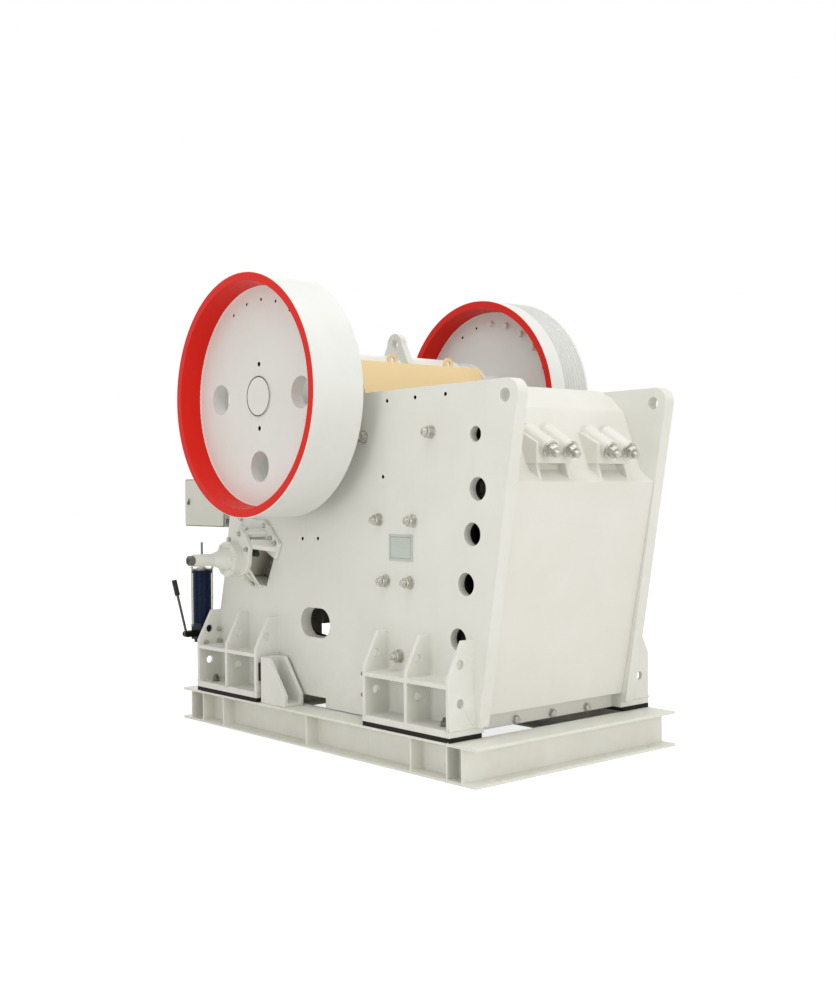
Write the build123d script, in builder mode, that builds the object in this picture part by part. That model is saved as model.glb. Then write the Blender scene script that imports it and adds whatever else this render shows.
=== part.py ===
# Single toggle jaw crusher on a steel base frame, in millimetres.
# +X points to the front wall, -Y is the left side as seen by someone who faces the front wall, +Z is up.
# The origin is the centre of the base frame's underside.
import os
from math import atan, cos, degrees, radians, sin

from build123d import *

os.makedirs("parts", exist_ok=True)

# Base frame of rolled H beams, which reaches past the side plates
base_front_overrun = 157.5
base_side_margin = 0.5
beam_height = 200
beam_width = 200
beam_flange = 15
beam_web = 10
stiffener_thickness = 12
stiffener_shares = (-0.977, -0.778, -0.033, 0.747, 0.985)
anchor_hole_r = 15
anchor_edge = 45
anchor_end = 192.5

# Side plates
inner_half_width = 545
plate_thickness = 74
foot_sole = 37
plate_tab_drop = 54
plate_tab_rear_x = -70
plate_tab_front_x = 277
plate_front_bottom_x = 1220
plate_front_top_x = 1530
plate_top_rise = 13.7
plate_top_fall = 22
plate_rear_top_x = -600
plate_shoulder_x = -1040
plate_shoulder_z = 1560
plate_waist_x = -1094
plate_waist_z = 1250
plate_hip_x = -1152
plate_hip_z = 911
plate_rear_bottom_x = -1200
plate_heel_z = 718
plate_corner_r = 75
plate_rear_corner_r = 60
lifting_hole_setback = 104
lifting_hole_drop = 87
lifting_hole_r = 35
wall_hole_r = 61
wall_hole_setback = 207
slot_x = -167.5
slot_z = 698.5
slot_length = 287
slot_height = 175
tapped_hole_r = 11
tapped_hole_depth = 30
tapped_hole_shares = (
    (0.334, 0.967), (0.488, 0.97), (0.646, 0.972), (0.308, 0.762), (-0.188, 0.585), (-0.088, 0.587),
)

# Shaft, bearings and wheels
shaft_x = -222.2
shaft_z = 2026.3
journal_r = 130
eccentric_r = 150
wheel_seat_r = 105
running_gap = 0.05
fit_gap = 0.3
housing_r = 262
housing_flange_r = 278
housing_flange = 36
housing_body_r = 226
housing_body_length = 81
housing_cover_r = 200
housing_cover = 25
housing_inner_reach = 20
wheel_r = 700
wheel_side_gap = 135
wheel_width = 342
rim_face_width = 50
rim_root_width = 67
wheel_web = 80
wheel_recess = 130
wheel_hub_r = 210
wheel_hub_gap = 11
wheel_hole_r = 90
wheel_hole_pitch_r = 405
jacking_hole_r = 14
jacking_hole_offset = 185
balance_hole_r = 9
balance_hole_count = 7
balance_hole_setback = 145
balance_hole_start = -27.8
balance_hole_step = 15.25
groove_count = 8
groove_width = 22
groove_root_width = 12
groove_pitch = 25.5
groove_depth = 19
groove_edge = 20
wheel_edge_chamfer = 5
hub_cap_r = 118
hub_cap = 8
hub_cap_groove_r = 115
hub_cap_groove = 4

# Crushing chamber and jaw dies
die_base = 70
die_tooth = 30
die_tooth_pitch = 82
die_side_gap = 13
fixed_back_top_x = 1042
fixed_lean_share = 0.1743
fixed_back_rise = 5
fixed_die_bottom_z = 330
fixed_die_drop = 75
swing_face_top_x = 190
swing_face_drop = 80
swing_lean_share = 0.2372
swing_die_bottom_z = 400
cheek_thickness = 34
cheek_top_drop = 110
cheek_split_z = 1165
cheek_bottom_z = 400
cheek_overlap = 60
cheek_joint_gap = 6

# Front wall, with its corners set back from the side plates' front edge
wall_crown_setback = 391.4
wall_crown_drop = 38
wall_brow_setback = 288.2
wall_brow_drop = 125
wall_recess_setback = 110.3
wall_recess_drop = 457
wall_ledge_setback = 7
wall_ledge_drop = 522
wall_foot_setback = 37.4
wall_foot_rise = 48
wall_crown_r = 60
wall_back_plate = 70
wall_front_plate = 26
wall_cell_shares = (
    (0.781, 0.904), (0.623, 0.722), (0.499, 0.601), (0.348, 0.477), (0.184, 0.325), (0.055, 0.162),
)
clamp_bar = 59
clamp_bar_drop = 88
clamp_bar_setback = 72

# Jaw clamp studs on the front wall, and the saddles under their bosses
stud_shares = (-0.573, -0.295, 0.295, 0.573)
stud_lean = 31
stud_root_rise = 207
stud_root_depth = 13
boss_r = 44
boss_length = 190
boss_bore_r = 24
stud_r = 20
stud_length = 262
stud_washer_r = 46
stud_washer = 12
stud_nut_r = 36
stud_nut = 34
saddle_margin = 16
saddle_reach = 66
saddle_height = 107
saddle_rise = 32
saddle_rib = 20
saddle_rib_inset = 14

# Pitman
pitman_side_gap = 55
barrel_r = 290
barrel_setback = 20
pitman_shoulder_rise = 1.7
pitman_nose_gap = 40
pitman_nose = 36
pitman_bottom_z = 385
pitman_heel_x = 320
pitman_rear_offset = 257.8
pitman_rear_drop = 126.3
pitman_waist_x = -40
pitman_waist_z = 960
pocket_rib = 50
pocket_wall = 110
pocket_roof = 36
pocket_bottom_z = 850
lug_offset = 91.2
lug_hole_rise = 351.7
lug_top_r = 67
lug_hole_r = 30
lug_foot_half = 134
lug_foot_rise = 223.7
lug_thickness = 44

# Pitman guard
guard_side_gap = 3
guard_overhang = 9
guard_rise = 200
guard_run = 63
guard_sheet = 12
guard_foot_depth = 80
guard_cheek_depth = 60
guard_ear_half = 38
guard_ear_rise = 14
guard_ear_hole_r = 15
guard_ear_share = 0.464

# Toggle, adjusting wedges and rear wall, in a plane that leans with the toggle
adjuster_x = -800
adjuster_z = 1060
toggle_lean = 24.9
wedge_stack_half = 58
wedge_half_height = 95
wedge_taper = 28
wedge_film = 0.4
wedge_reach = 81
seat_depth = 200
seat_half_height = 140
seat_pocket = 45
toggle_seat_far = 1036
toggle_head_r = 45
toggle_half_thickness = 35
toggle_end_gap = 105
toggle_rear_gap = 20
toggle_side_gap = 6
toggle_lobe_r = 112
guide_gap = 1
guide_thickness = 42
guide_length = 250
rear_block = 140
rear_block_half = 230
rear_skin = 60
rear_skin_top_z = 1500
rear_skin_bottom_z = 560
rear_notch_top_z = 612
rear_notch_gap = 0.4
rear_rib_thickness = 40
seat_window_gap = 12
window_front = 190

# Wedge adjusters on the side plates
bracket_half_length = 180
bracket_half_height = 169
bracket_lift = 32
bracket_flange = 24
bracket_flange_margin = 38
bracket_wall = 30
bracket_depth = 126
bracket_end_plate = 25
bracket_end_front = 140
bracket_rib = 50
bracket_ribs = ((1, 12, 44), (1, 146, 0), (-1, 70, 0))
cylinder_flange_r = 108
cylinder_flange = 60
cylinder_collar_r = 72
cylinder_collar = 100
cylinder_collar_taper = 19
cylinder_r = 37
cylinder_length = 292
cylinder_nut_r = 30
cylinder_nut = 36

# Tension rod and its spring housing
rod_pin_setback = 85
rod_pin_drop = 13
rod_pin_r = 22
rod_eye_r = 46
rod_eye_half = 30
rod_r = 28
rod_bore_inset = 20
rod_bore_z = 520
rod_bore_r = 44
rod_lug_half_gap = 36
rod_lug_thickness = 34
rod_lug_r = 62
housing_tube_r = 82
housing_tube_length = 120
hanger_half_width = 175
hanger_thickness = 40
hanger_bottom_z = 420
rod_washer_gap = 26
rod_washer = 20
rod_washer_r = 70
rod_nut_r = 44
rod_nut = 40

# Feet, pads and stoppers
pad_thickness = 25
pad_inset = 15
foot_front_setback = 34
foot_front_length = 698
foot_rear_overhang = 9
foot_rear_length = 671
foot_front_middle_share = 0.497
foot_rear_middle_share = 0.483
foot_plate = 24
foot_reach = 173
foot_shelf_rise = 208
foot_shelf = 24
gusset_top_rise = 450
gusset_top_out = 75
gusset_shoulder_rise = 262
gusset_hole_r = 24
gusset_hole_out = 92
gusset_low_hole_rise = 130
gusset_high_hole_rise = 330
stopper_length = 250
stopper_base = 20
stopper_rise = 278
stopper_top_length = 86
stopper_nose_rise = 68
stopper_plate = 24
stopper_outer_gap = 16
stopper_inner_gap = 21
stopper_buffer = 26
stopper_buffer_rise = 130
stopper_buffer_height = 110

# Nameplate, cabinet and hand pump
nameplate_x = 621
nameplate_z = 1166.5
nameplate_length = 200
nameplate_height = 145
nameplate_sheet = 4
cabinet_length = 482
cabinet_gap = 46
cabinet_low_z = 1244
cabinet_height = 316
cabinet_width = 219
cabinet_bracket_rise = 46
cabinet_bracket_height = 190
cabinet_bracket_inset = 30
cabinet_bracket_width = 90
pump_end_margin = 85.5
pump_out = 81
pump_low_rise = 253
pump_bracket_half = 62
pump_bracket_drop = 15
pump_bracket_height = 125
pump_block_half = 52
pump_block_height = 85
pump_r = 60
pump_cap_r = 66
pump_cap = 30
pump_tank_height = 376
pump_pin_r = 7
pump_pin_height = 171
lever_pivot_rise = 41
lever_pivot_out = 120
lever_pin_r = 8
lever_eye_r = 18
lever_eye = 16
lever_ear = 10
lever_ear_gap = 0.5
lever_ear_r = 20
lever_lean_out = 88
lever_height = 352
grip_r = 16
grip_length = 100

# Widths worked out from the sizes above
outer_half_width = inner_half_width + plate_thickness
foot_outer = outer_half_width + foot_reach
base_width = 2 * (foot_outer + base_side_margin)
base_length = 2 * (plate_front_bottom_x + base_front_overrun)
housing_inner_end = inner_half_width - housing_inner_reach
housing_body_end = outer_half_width + housing_body_length
bearing_end = housing_body_end + housing_cover
wheel_inner_face = outer_half_width + wheel_side_gap
wheel_outer_face = wheel_inner_face + wheel_width
web_outer_face = wheel_outer_face - wheel_recess
web_inner_face = web_outer_face - wheel_web
wheel_hub_end = bearing_end + wheel_hub_gap
pitman_half_width = inner_half_width - pitman_side_gap
barrel_half_length = pitman_half_width - barrel_setback
guard_half_width = pitman_half_width - guard_side_gap
die_half_width = inner_half_width - cheek_thickness - die_side_gap
toggle_half_width = inner_half_width - toggle_end_gap
wedge_end = outer_half_width + wedge_reach

# Levels worked out from the sizes above
pad_top_z = beam_height + pad_thickness
plate_bottom_z = pad_top_z + foot_sole
plate_front_top_z = shaft_z + plate_top_rise
plate_front_rise = plate_front_top_z - plate_bottom_z
wall_crown_z = plate_front_top_z - wall_crown_drop
wall_brow_z = plate_front_top_z - wall_brow_drop
wall_recess_z = plate_front_top_z - wall_recess_drop
wall_ledge_z = plate_front_top_z - wall_ledge_drop
wall_foot_z = plate_bottom_z + wall_foot_rise
fixed_back_top_z = plate_front_top_z + fixed_back_rise
swing_face_top_z = plate_front_top_z - swing_face_drop
cheek_top_z = plate_front_top_z - cheek_top_drop
pitman_shoulder_z = shaft_z + pitman_shoulder_rise
guard_bottom_z = pitman_shoulder_z + guard_sheet
guard_top_z = guard_bottom_z + guard_rise

# Directions worked out from the sizes above
fixed_tilt = degrees(atan(fixed_lean_share))
swing_tilt = degrees(atan(swing_lean_share))
die_depth = die_base + die_tooth
toggle_run = (cos(radians(toggle_lean)), -sin(radians(toggle_lean)))
toggle_plane = Plane(
    origin=(adjuster_x, 0, adjuster_z), x_dir=(toggle_run[0], 0, toggle_run[1]), z_dir=(0, -1, 0),
)
seat_x = adjuster_x + toggle_seat_far * toggle_run[0]
seat_z = adjuster_z + toggle_seat_far * toggle_run[1]


def fixed_back(z):
    """X of the face that carries the fixed jaw die."""
    return fixed_back_top_x - fixed_lean_share * (fixed_back_top_z - z)


def swing_face(z):
    """X of the tooth tips of the swing jaw die."""
    return swing_face_top_x + swing_lean_share * (swing_face_top_z - z)


def swing_back(z):
    """X of the pitman's face behind the swing jaw die."""
    return swing_face(z) - die_depth / cos(radians(swing_tilt))


def front_edge(z):
    """X of the side plates' front edge."""
    share = (z - plate_bottom_z) / plate_front_rise
    return plate_front_bottom_x + share * (plate_front_top_x - plate_front_bottom_x)


wall_crown_x = front_edge(wall_crown_z) - wall_crown_setback
wall_brow_x = front_edge(wall_brow_z) - wall_brow_setback
wall_recess_x = front_edge(wall_recess_z) - wall_recess_setback
wall_ledge_x = front_edge(wall_ledge_z) - wall_ledge_setback
wall_foot_x = front_edge(wall_foot_z) - wall_foot_setback


def wall_front(z):
    """X of the front wall's outer face."""
    if z >= wall_recess_z:
        share = (wall_brow_z - z) / (wall_brow_z - wall_recess_z)
        return wall_brow_x + share * (wall_recess_x - wall_brow_x)
    if z >= wall_ledge_z:
        return wall_recess_x
    return wall_foot_x + (z - wall_foot_z) * (wall_ledge_x - wall_foot_x) / (wall_ledge_z - wall_foot_z)


def rear_edge(z):
    """X of the side plates' rear edge."""
    rows = ((plate_bottom_z, plate_rear_bottom_x), (plate_heel_z, plate_rear_bottom_x),
            (plate_hip_z, plate_hip_x), (plate_waist_z, plate_waist_x), (plate_shoulder_z, plate_shoulder_x))
    for (low_z, low_x), (high_z, high_x) in zip(rows, rows[1:]):
        if z <= high_z:
            return low_x + (z - low_z) * (high_x - low_x) / (high_z - low_z)
    return plate_shoulder_x


def save(builder, name):
    """Labels a finished piece and writes its file."""
    builder.part.label = name
    export_step(builder.part, "parts/" + name + ".step")


def save_mirrored(builder, stem):
    """Writes the left piece and its mirror image on the right side."""
    save(builder, stem + "_left")
    with BuildPart() as twin:
        mirror(builder.part, about=Plane.XZ)
    save(twin, stem + "_right")


def h_section():
    """The beam's H profile, standing on its lower flange, in the current sketch."""
    for height in (beam_flange / 2, beam_height - beam_flange / 2):
        with Locations((0, height)):
            Rectangle(beam_width, beam_flange)
    with Locations((0, beam_height / 2)):
        Rectangle(beam_web, beam_height)


# Front and rear beams run the full width, with the anchor holes in their lower flanges
beam_x = base_length / 2 - beam_width / 2
anchor_x = base_length / 2 - anchor_edge
anchor_y = base_width / 2 - anchor_end
for name, place in (("front", 1), ("rear", -1)):
    with BuildPart() as cross_beam:
        with BuildSketch(Plane.XZ.shift_origin((place * beam_x, 0, 0)).offset(-base_width / 2)):
            h_section()
        extrude(amount=base_width)
        with Locations(Plane.XY):
            with Locations(*[(place * anchor_x, side * anchor_y) for side in (-1, 1)]):
                Cylinder(anchor_hole_r, 2 * beam_flange, mode=Mode.SUBTRACT)
    save(cross_beam, "base_beam_" + name)

# Side beams fit between the cross beams and carry upright stiffeners
side_beam_length = base_length - 2 * beam_width
side_beam_y = base_width / 2 - beam_width / 2
stiffener_depth = beam_width / 2 - beam_web / 2
with BuildPart() as base_beam_left:
    with BuildSketch(Plane.YZ.shift_origin((0, -side_beam_y, 0)).offset(-side_beam_length / 2)):
        h_section()
    extrude(amount=side_beam_length)
    for share in stiffener_shares:
        with Locations((share * side_beam_length / 2, -side_beam_y, beam_height / 2)):
            Box(stiffener_thickness, 2 * stiffener_depth, beam_height - 2 * beam_flange)
save_mirrored(base_beam_left, "base_beam")

# Side plate, with the bearing notch, the wall holes, the slot and the wedge window
side_outline = [
    (plate_rear_bottom_x, plate_bottom_z),
    (plate_tab_rear_x, plate_bottom_z),
    (plate_tab_rear_x, plate_bottom_z - plate_tab_drop),
    (plate_tab_front_x, plate_bottom_z - plate_tab_drop),
    (plate_tab_front_x, plate_bottom_z),
    (plate_front_bottom_x, plate_bottom_z),
    (plate_front_top_x, plate_front_top_z),
    (plate_rear_top_x, plate_front_top_z - plate_top_fall),
    (plate_shoulder_x, plate_shoulder_z),
    (plate_waist_x, plate_waist_z),
    (plate_hip_x, plate_hip_z),
    (plate_rear_bottom_x, plate_heel_z),
]
wall_hole_shares = (
    (0.846, 1.3, 0.67), (0.688, 1, 1), (0.557, 1.01, 1), (0.411, 1.03, 0.98), (0.247, 1.08, 0.98),
)
window_half_length = wedge_stack_half + seat_window_gap
window_half_height = wedge_half_height + seat_window_gap
with BuildPart() as side_plate_left:
    with BuildSketch(Plane.XZ.offset(inner_half_width)):
        with BuildLine():
            Polyline(*side_outline, close=True)
        make_face()
        fillet(vertices().sort_by_distance((plate_front_top_x, plate_front_top_z))[0], plate_corner_r)
        fillet(vertices().sort_by_distance((plate_shoulder_x, plate_shoulder_z))[0], plate_rear_corner_r)
        with Locations((shaft_x, shaft_z)):
            Circle(housing_r, mode=Mode.SUBTRACT)
        with Locations((plate_front_top_x - lifting_hole_setback, plate_front_top_z - lifting_hole_drop)):
            Circle(lifting_hole_r, mode=Mode.SUBTRACT)
        for rise_share, setback_share, r_share in wall_hole_shares:
            hole_z = plate_bottom_z + rise_share * plate_front_rise
            with Locations((front_edge(hole_z) - setback_share * wall_hole_setback, hole_z)):
                Circle(r_share * wall_hole_r, mode=Mode.SUBTRACT)
        with Locations((slot_x, slot_z)):
            SlotOverall(slot_length, slot_height, mode=Mode.SUBTRACT)
    extrude(amount=plate_thickness)
    with BuildSketch(toggle_plane.offset(inner_half_width)):
        with Locations(((window_front - window_half_length) / 2, 0)):
            Rectangle(window_front + window_half_length, 2 * window_half_height)
    extrude(amount=plate_thickness, mode=Mode.SUBTRACT)
    with BuildSketch(Plane.XZ.offset(outer_half_width - tapped_hole_depth)):
        with Locations(*[(x * plate_front_top_x, z * plate_front_top_z) for x, z in tapped_hole_shares]):
            Circle(tapped_hole_r)
    extrude(amount=tapped_hole_depth, mode=Mode.SUBTRACT)
save_mirrored(side_plate_left, "side_plate")

# Front wall, a welded box with one cell behind each hole of the side plates, and stud bosses on two saddles
wall_outline = [
    (fixed_back(wall_foot_z), wall_foot_z),
    (wall_foot_x, wall_foot_z),
    (wall_ledge_x, wall_ledge_z),
    (wall_recess_x, wall_recess_z),
    (wall_brow_x, wall_brow_z),
    (wall_crown_x, wall_crown_z),
    (fixed_back_top_x, fixed_back_top_z),
]
stud_run = (cos(radians(stud_lean)), 0, -sin(radians(stud_lean)))
stud_root_z = wall_recess_z + stud_root_rise
stud_root_x = wall_front(stud_root_z) + stud_root_depth
stud_places = [share * inner_half_width for share in stud_shares]
stud_planes = [Plane(origin=(stud_root_x, y, stud_root_z), z_dir=stud_run) for y in stud_places]
saddle_low_z = wall_recess_z + saddle_rise
saddle_high_z = saddle_low_z + saddle_height
saddle_front_x = wall_recess_x + saddle_reach
saddle_starts = [stud_places[step] - boss_r - saddle_margin for step in (0, 2)]
saddle_width = stud_places[1] - stud_places[0] + 2 * (boss_r + saddle_margin)
with BuildPart() as front_wall:
    with BuildSketch(Plane.XZ.offset(-inner_half_width)):
        with BuildLine():
            Polyline(*wall_outline, close=True)
        make_face()
        for corner in ((wall_brow_x, wall_brow_z), (wall_crown_x, wall_crown_z)):
            fillet(vertices().sort_by_distance(corner)[0], wall_crown_r)
        for low_share, high_share in wall_cell_shares:
            low_z = plate_bottom_z + low_share * plate_front_rise
            high_z = plate_bottom_z + high_share * plate_front_rise
            with BuildLine():
                Polyline(
                    (fixed_back(low_z) + wall_back_plate, low_z),
                    (wall_front(low_z) - wall_front_plate, low_z),
                    (wall_front(high_z) - wall_front_plate, high_z),
                    (fixed_back(high_z) + wall_back_plate, high_z),
                    close=True,
                )
            make_face(mode=Mode.SUBTRACT)
    extrude(amount=2 * inner_half_width)
    for start in saddle_starts:
        with BuildSketch(Plane.XZ.offset(-start - saddle_width)):
            with BuildLine():
                Polyline(
                    (wall_brow_x - wall_front_plate, stud_root_z),
                    (stud_root_x, stud_root_z),
                    (saddle_front_x, saddle_high_z),
                    (saddle_front_x, saddle_low_z),
                    (wall_brow_x - wall_front_plate, saddle_low_z),
                    close=True,
                )
            make_face()
        extrude(amount=saddle_width)
        for rib_start in (start + saddle_rib_inset, start + saddle_width - saddle_rib_inset - saddle_rib):
            with BuildSketch(Plane.XZ.offset(-rib_start - saddle_rib)):
                with BuildLine():
                    Polyline(
                        (wall_recess_x - wall_front_plate, saddle_low_z),
                        (saddle_front_x - saddle_rib, saddle_low_z),
                        (wall_ledge_x - wall_front_plate / 2, wall_ledge_z),
                        (wall_recess_x - wall_front_plate, wall_ledge_z),
                        close=True,
                    )
                make_face()
            extrude(amount=saddle_rib)
    for plane in stud_planes:
        with BuildSketch(plane):
            Circle(boss_r)
        extrude(amount=boss_length)
    for plane in stud_planes:
        with BuildSketch(plane.offset(boss_length / 2)):
            Circle(boss_bore_r)
        extrude(amount=boss_length / 2, mode=Mode.SUBTRACT)
save(front_wall, "front_wall")

# Jaw clamp studs with washers and nuts, seated on the ends of the bosses
with BuildPart() as jaw_clamp_studs:
    for plane in stud_planes:
        with BuildSketch(plane.offset(boss_length / 2)):
            Circle(stud_r)
        extrude(amount=stud_length - boss_length / 2)
        with BuildSketch(plane.offset(boss_length)):
            Circle(stud_washer_r)
        extrude(amount=stud_washer)
        with BuildSketch(plane.offset(boss_length + stud_washer)):
            RegularPolygon(stud_nut_r, 6)
        extrude(amount=stud_nut)
save(jaw_clamp_studs, "jaw_clamp_studs")

# Die support bar, bolted under the front wall
with BuildPart() as die_support_bar:
    with BuildSketch(Plane.XZ.offset(-inner_half_width)):
        with Locations((wall_foot_x - clamp_bar_setback - clamp_bar / 2, wall_foot_z - clamp_bar_drop / 2)):
            Rectangle(clamp_bar, clamp_bar_drop)
    extrude(amount=2 * inner_half_width)
save(die_support_bar, "die_support_bar")


def die_profile():
    """A jaw die's cross section: Y along the width, X out of the carrying face towards the chamber."""
    half_count = int(die_half_width / die_tooth_pitch)
    points = [(0, -die_half_width), (die_base, -die_half_width)]
    for tooth in range(-half_count, half_count + 1):
        centre = tooth * die_tooth_pitch
        if abs(centre) + die_tooth_pitch / 2 < die_half_width:
            points += [(die_base, centre - die_tooth_pitch / 2), (die_depth, centre - die_tooth_pitch / 6),
                       (die_depth, centre + die_tooth_pitch / 6), (die_base, centre + die_tooth_pitch / 2)]
    points += [(die_base, die_half_width), (0, die_half_width)]
    tidy = [p for i, p in enumerate(points) if i == 0 or p != points[i - 1]]
    Polyline(*tidy, close=True)


# Fixed jaw die on the back of the front wall, its teeth towards the chamber
fixed_up = (sin(radians(fixed_tilt)), 0, cos(radians(fixed_tilt)))
fixed_out = (-cos(radians(fixed_tilt)), 0, sin(radians(fixed_tilt)))
fixed_die_foot = (fixed_back(fixed_die_bottom_z), 0, fixed_die_bottom_z)
fixed_die_plane = Plane(origin=fixed_die_foot, x_dir=fixed_out, z_dir=fixed_up)
fixed_die_length = (plate_front_top_z - fixed_die_drop - fixed_die_bottom_z) / cos(radians(fixed_tilt))
with BuildPart() as fixed_jaw_die:
    with BuildSketch(fixed_die_plane):
        with BuildLine():
            die_profile()
        make_face()
    extrude(amount=fixed_die_length)
save(fixed_jaw_die, "fixed_jaw_die")

# Cheek plates line the chamber's sides, an upper and a lower one on each side
with BuildPart() as cheek_plate_left:
    with BuildSketch(Plane.XZ.offset(inner_half_width - cheek_thickness)):
        lower, upper = (cheek_bottom_z, cheek_split_z - cheek_joint_gap), (cheek_split_z, cheek_top_z)
        for low_z, high_z in (lower, upper):
            with BuildLine():
                Polyline(
                    (swing_face(low_z) - cheek_overlap, low_z),
                    (fixed_back(low_z), low_z),
                    (fixed_back(high_z), high_z),
                    (swing_face(high_z) - cheek_overlap, high_z),
                    close=True,
                )
            make_face()
    extrude(amount=cheek_thickness)
save_mirrored(cheek_plate_left, "cheek_plates")

# Main bearing housing, which hangs in the notch of its side plate by its flange
with BuildPart() as bearing_housing_left:
    for start, end, r in (
        (housing_inner_end, outer_half_width, housing_r - fit_gap),
        (outer_half_width, outer_half_width + housing_flange, housing_flange_r),
        (outer_half_width + housing_flange, housing_body_end, housing_body_r),
        (housing_body_end, bearing_end, housing_cover_r),
    ):
        with BuildSketch(Plane.XZ.offset(start)):
            with Locations((shaft_x, shaft_z)):
                Circle(r)
        extrude(amount=end - start)
    with BuildSketch(Plane.XZ.offset(housing_inner_end)):
        with Locations((shaft_x, shaft_z)):
            Circle(journal_r + running_gap)
    extrude(amount=bearing_end - housing_inner_end, mode=Mode.SUBTRACT)
save_mirrored(bearing_housing_left, "bearing_housing")

# Shaft through the pitman, both bearings and both wheels
with BuildPart() as eccentric_shaft:
    for half_length, r in (
        (barrel_half_length, eccentric_r),
        (wheel_hub_end, journal_r),
        (web_outer_face, wheel_seat_r),
    ):
        with BuildSketch(Plane.XZ.offset(-half_length)):
            with Locations((shaft_x, shaft_z)):
                Circle(r)
        extrude(amount=2 * half_length)
save(eccentric_shaft, "eccentric_shaft")


def wheel_profile(grooved):
    """Half section of a wheel: X is the radius, Y is the distance from the middle plane."""
    rim = [(wheel_r, wheel_inner_face + wheel_edge_chamfer)]
    if grooved:
        for groove in range(groove_count):
            outermost = wheel_outer_face - groove_edge - groove_width / 2
            middle = outermost - (groove_count - 1 - groove) * groove_pitch
            rim += [
                (wheel_r, middle - groove_width / 2),
                (wheel_r - groove_depth, middle - groove_root_width / 2),
                (wheel_r - groove_depth, middle + groove_root_width / 2),
                (wheel_r, middle + groove_width / 2),
            ]
    rim += [(wheel_r, wheel_outer_face - wheel_edge_chamfer)]
    Polyline(
        (wheel_seat_r + running_gap, wheel_hub_end),
        (wheel_hub_r, wheel_hub_end),
        (wheel_hub_r, web_inner_face),
        (wheel_r - rim_root_width, web_inner_face),
        (wheel_r - rim_face_width, wheel_inner_face),
        (wheel_r - wheel_edge_chamfer, wheel_inner_face),
        *rim,
        (wheel_r - wheel_edge_chamfer, wheel_outer_face),
        (wheel_r - rim_face_width, wheel_outer_face),
        (wheel_r - rim_root_width, web_outer_face),
        (wheel_seat_r + running_gap, web_outer_face),
        close=True,
    )


# Wheels: a plain flywheel on the left, a grooved drive wheel on the right, with three lightening holes each
shaft_axis = Axis((shaft_x, 0, shaft_z), (0, 1, 0))
for name, side, grooved in (("flywheel_left", -1, False), ("drive_wheel_right", 1, True)):
    with BuildPart() as wheel:
        with BuildSketch(Plane(origin=(shaft_x, 0, shaft_z), x_dir=(1, 0, 0), z_dir=(0, 0, side))):
            with BuildLine():
                wheel_profile(grooved)
            make_face()
        revolve(axis=shaft_axis)
        with BuildSketch(Plane.XZ.shift_origin((shaft_x, 0, shaft_z)).offset(-side * web_outer_face)):
            for angle in (0, -90, 180):
                turn = radians(angle)
                with Locations((wheel_hole_pitch_r * cos(turn), wheel_hole_pitch_r * sin(turn))):
                    Circle(wheel_hole_r)
            with Locations((0, jacking_hole_offset), (0, -jacking_hole_offset)):
                Circle(jacking_hole_r)
        extrude(amount=wheel_outer_face, both=True, mode=Mode.SUBTRACT)
        with BuildSketch(Plane.XZ.shift_origin((shaft_x, 0, shaft_z)).offset(-side * web_outer_face)):
            for step in range(balance_hole_count):
                turn = radians(balance_hole_start + step * balance_hole_step)
                arc_r = wheel_r - balance_hole_setback
                with Locations((arc_r * sin(turn), arc_r * cos(turn))):
                    Circle(balance_hole_r)
        extrude(amount=side * wheel_web, mode=Mode.SUBTRACT)
    save(wheel, name)

# Hub caps, blank discs with one turned groove, over both shaft ends
with BuildPart() as hub_caps:
    for side in (-1, 1):
        face = Plane(origin=(shaft_x, side * web_outer_face, shaft_z), z_dir=(0, side, 0))
        with BuildSketch(face):
            Circle(hub_cap_r)
        extrude(amount=hub_cap)
        with BuildSketch(face.offset(hub_cap - hub_cap_groove)):
            Circle(hub_cap_groove_r)
            Circle(hub_cap_groove_r - hub_cap_groove, mode=Mode.SUBTRACT)
        extrude(amount=hub_cap_groove, mode=Mode.SUBTRACT)
save(hub_caps, "hub_caps")

# Pitman: barrel, ribbed arm, toggle seat, lugs for the tension rod and a lifting eye
pitman_nose_x = swing_face_top_x - pitman_nose_gap
pitman_rear_top = (shaft_x - pitman_rear_offset, shaft_z - pitman_rear_drop)
lug_x = shaft_x + lug_offset
lug_hole_z = shaft_z + lug_hole_rise
lug_foot_z = shaft_z + lug_foot_rise
rod_pin_x = pitman_heel_x - rod_pin_setback
rod_pin_z = pitman_bottom_z - rod_pin_drop
pitman_outline = [
    (shaft_x, pitman_shoulder_z),
    (pitman_nose_x, pitman_shoulder_z),
    (pitman_nose_x, pitman_shoulder_z - pitman_nose),
    (swing_back(pitman_shoulder_z - pitman_nose), pitman_shoulder_z - pitman_nose),
    (swing_back(swing_die_bottom_z), swing_die_bottom_z),
    (swing_back(swing_die_bottom_z), pitman_bottom_z),
    (pitman_heel_x, pitman_bottom_z),
    (seat_x, seat_z - toggle_lobe_r),
    (seat_x - toggle_lobe_r, seat_z),
    (pitman_waist_x, pitman_waist_z),
    pitman_rear_top,
]
pocket_width = (2 * pitman_half_width - 4 * pocket_rib) / 3
pocket_places = [step * (pocket_width + pocket_rib) for step in (-1, 0, 1)]
pocket_top_z = shaft_z - barrel_r - pocket_roof
seat_mouth = 2 * (toggle_half_thickness + toggle_side_gap)
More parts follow.
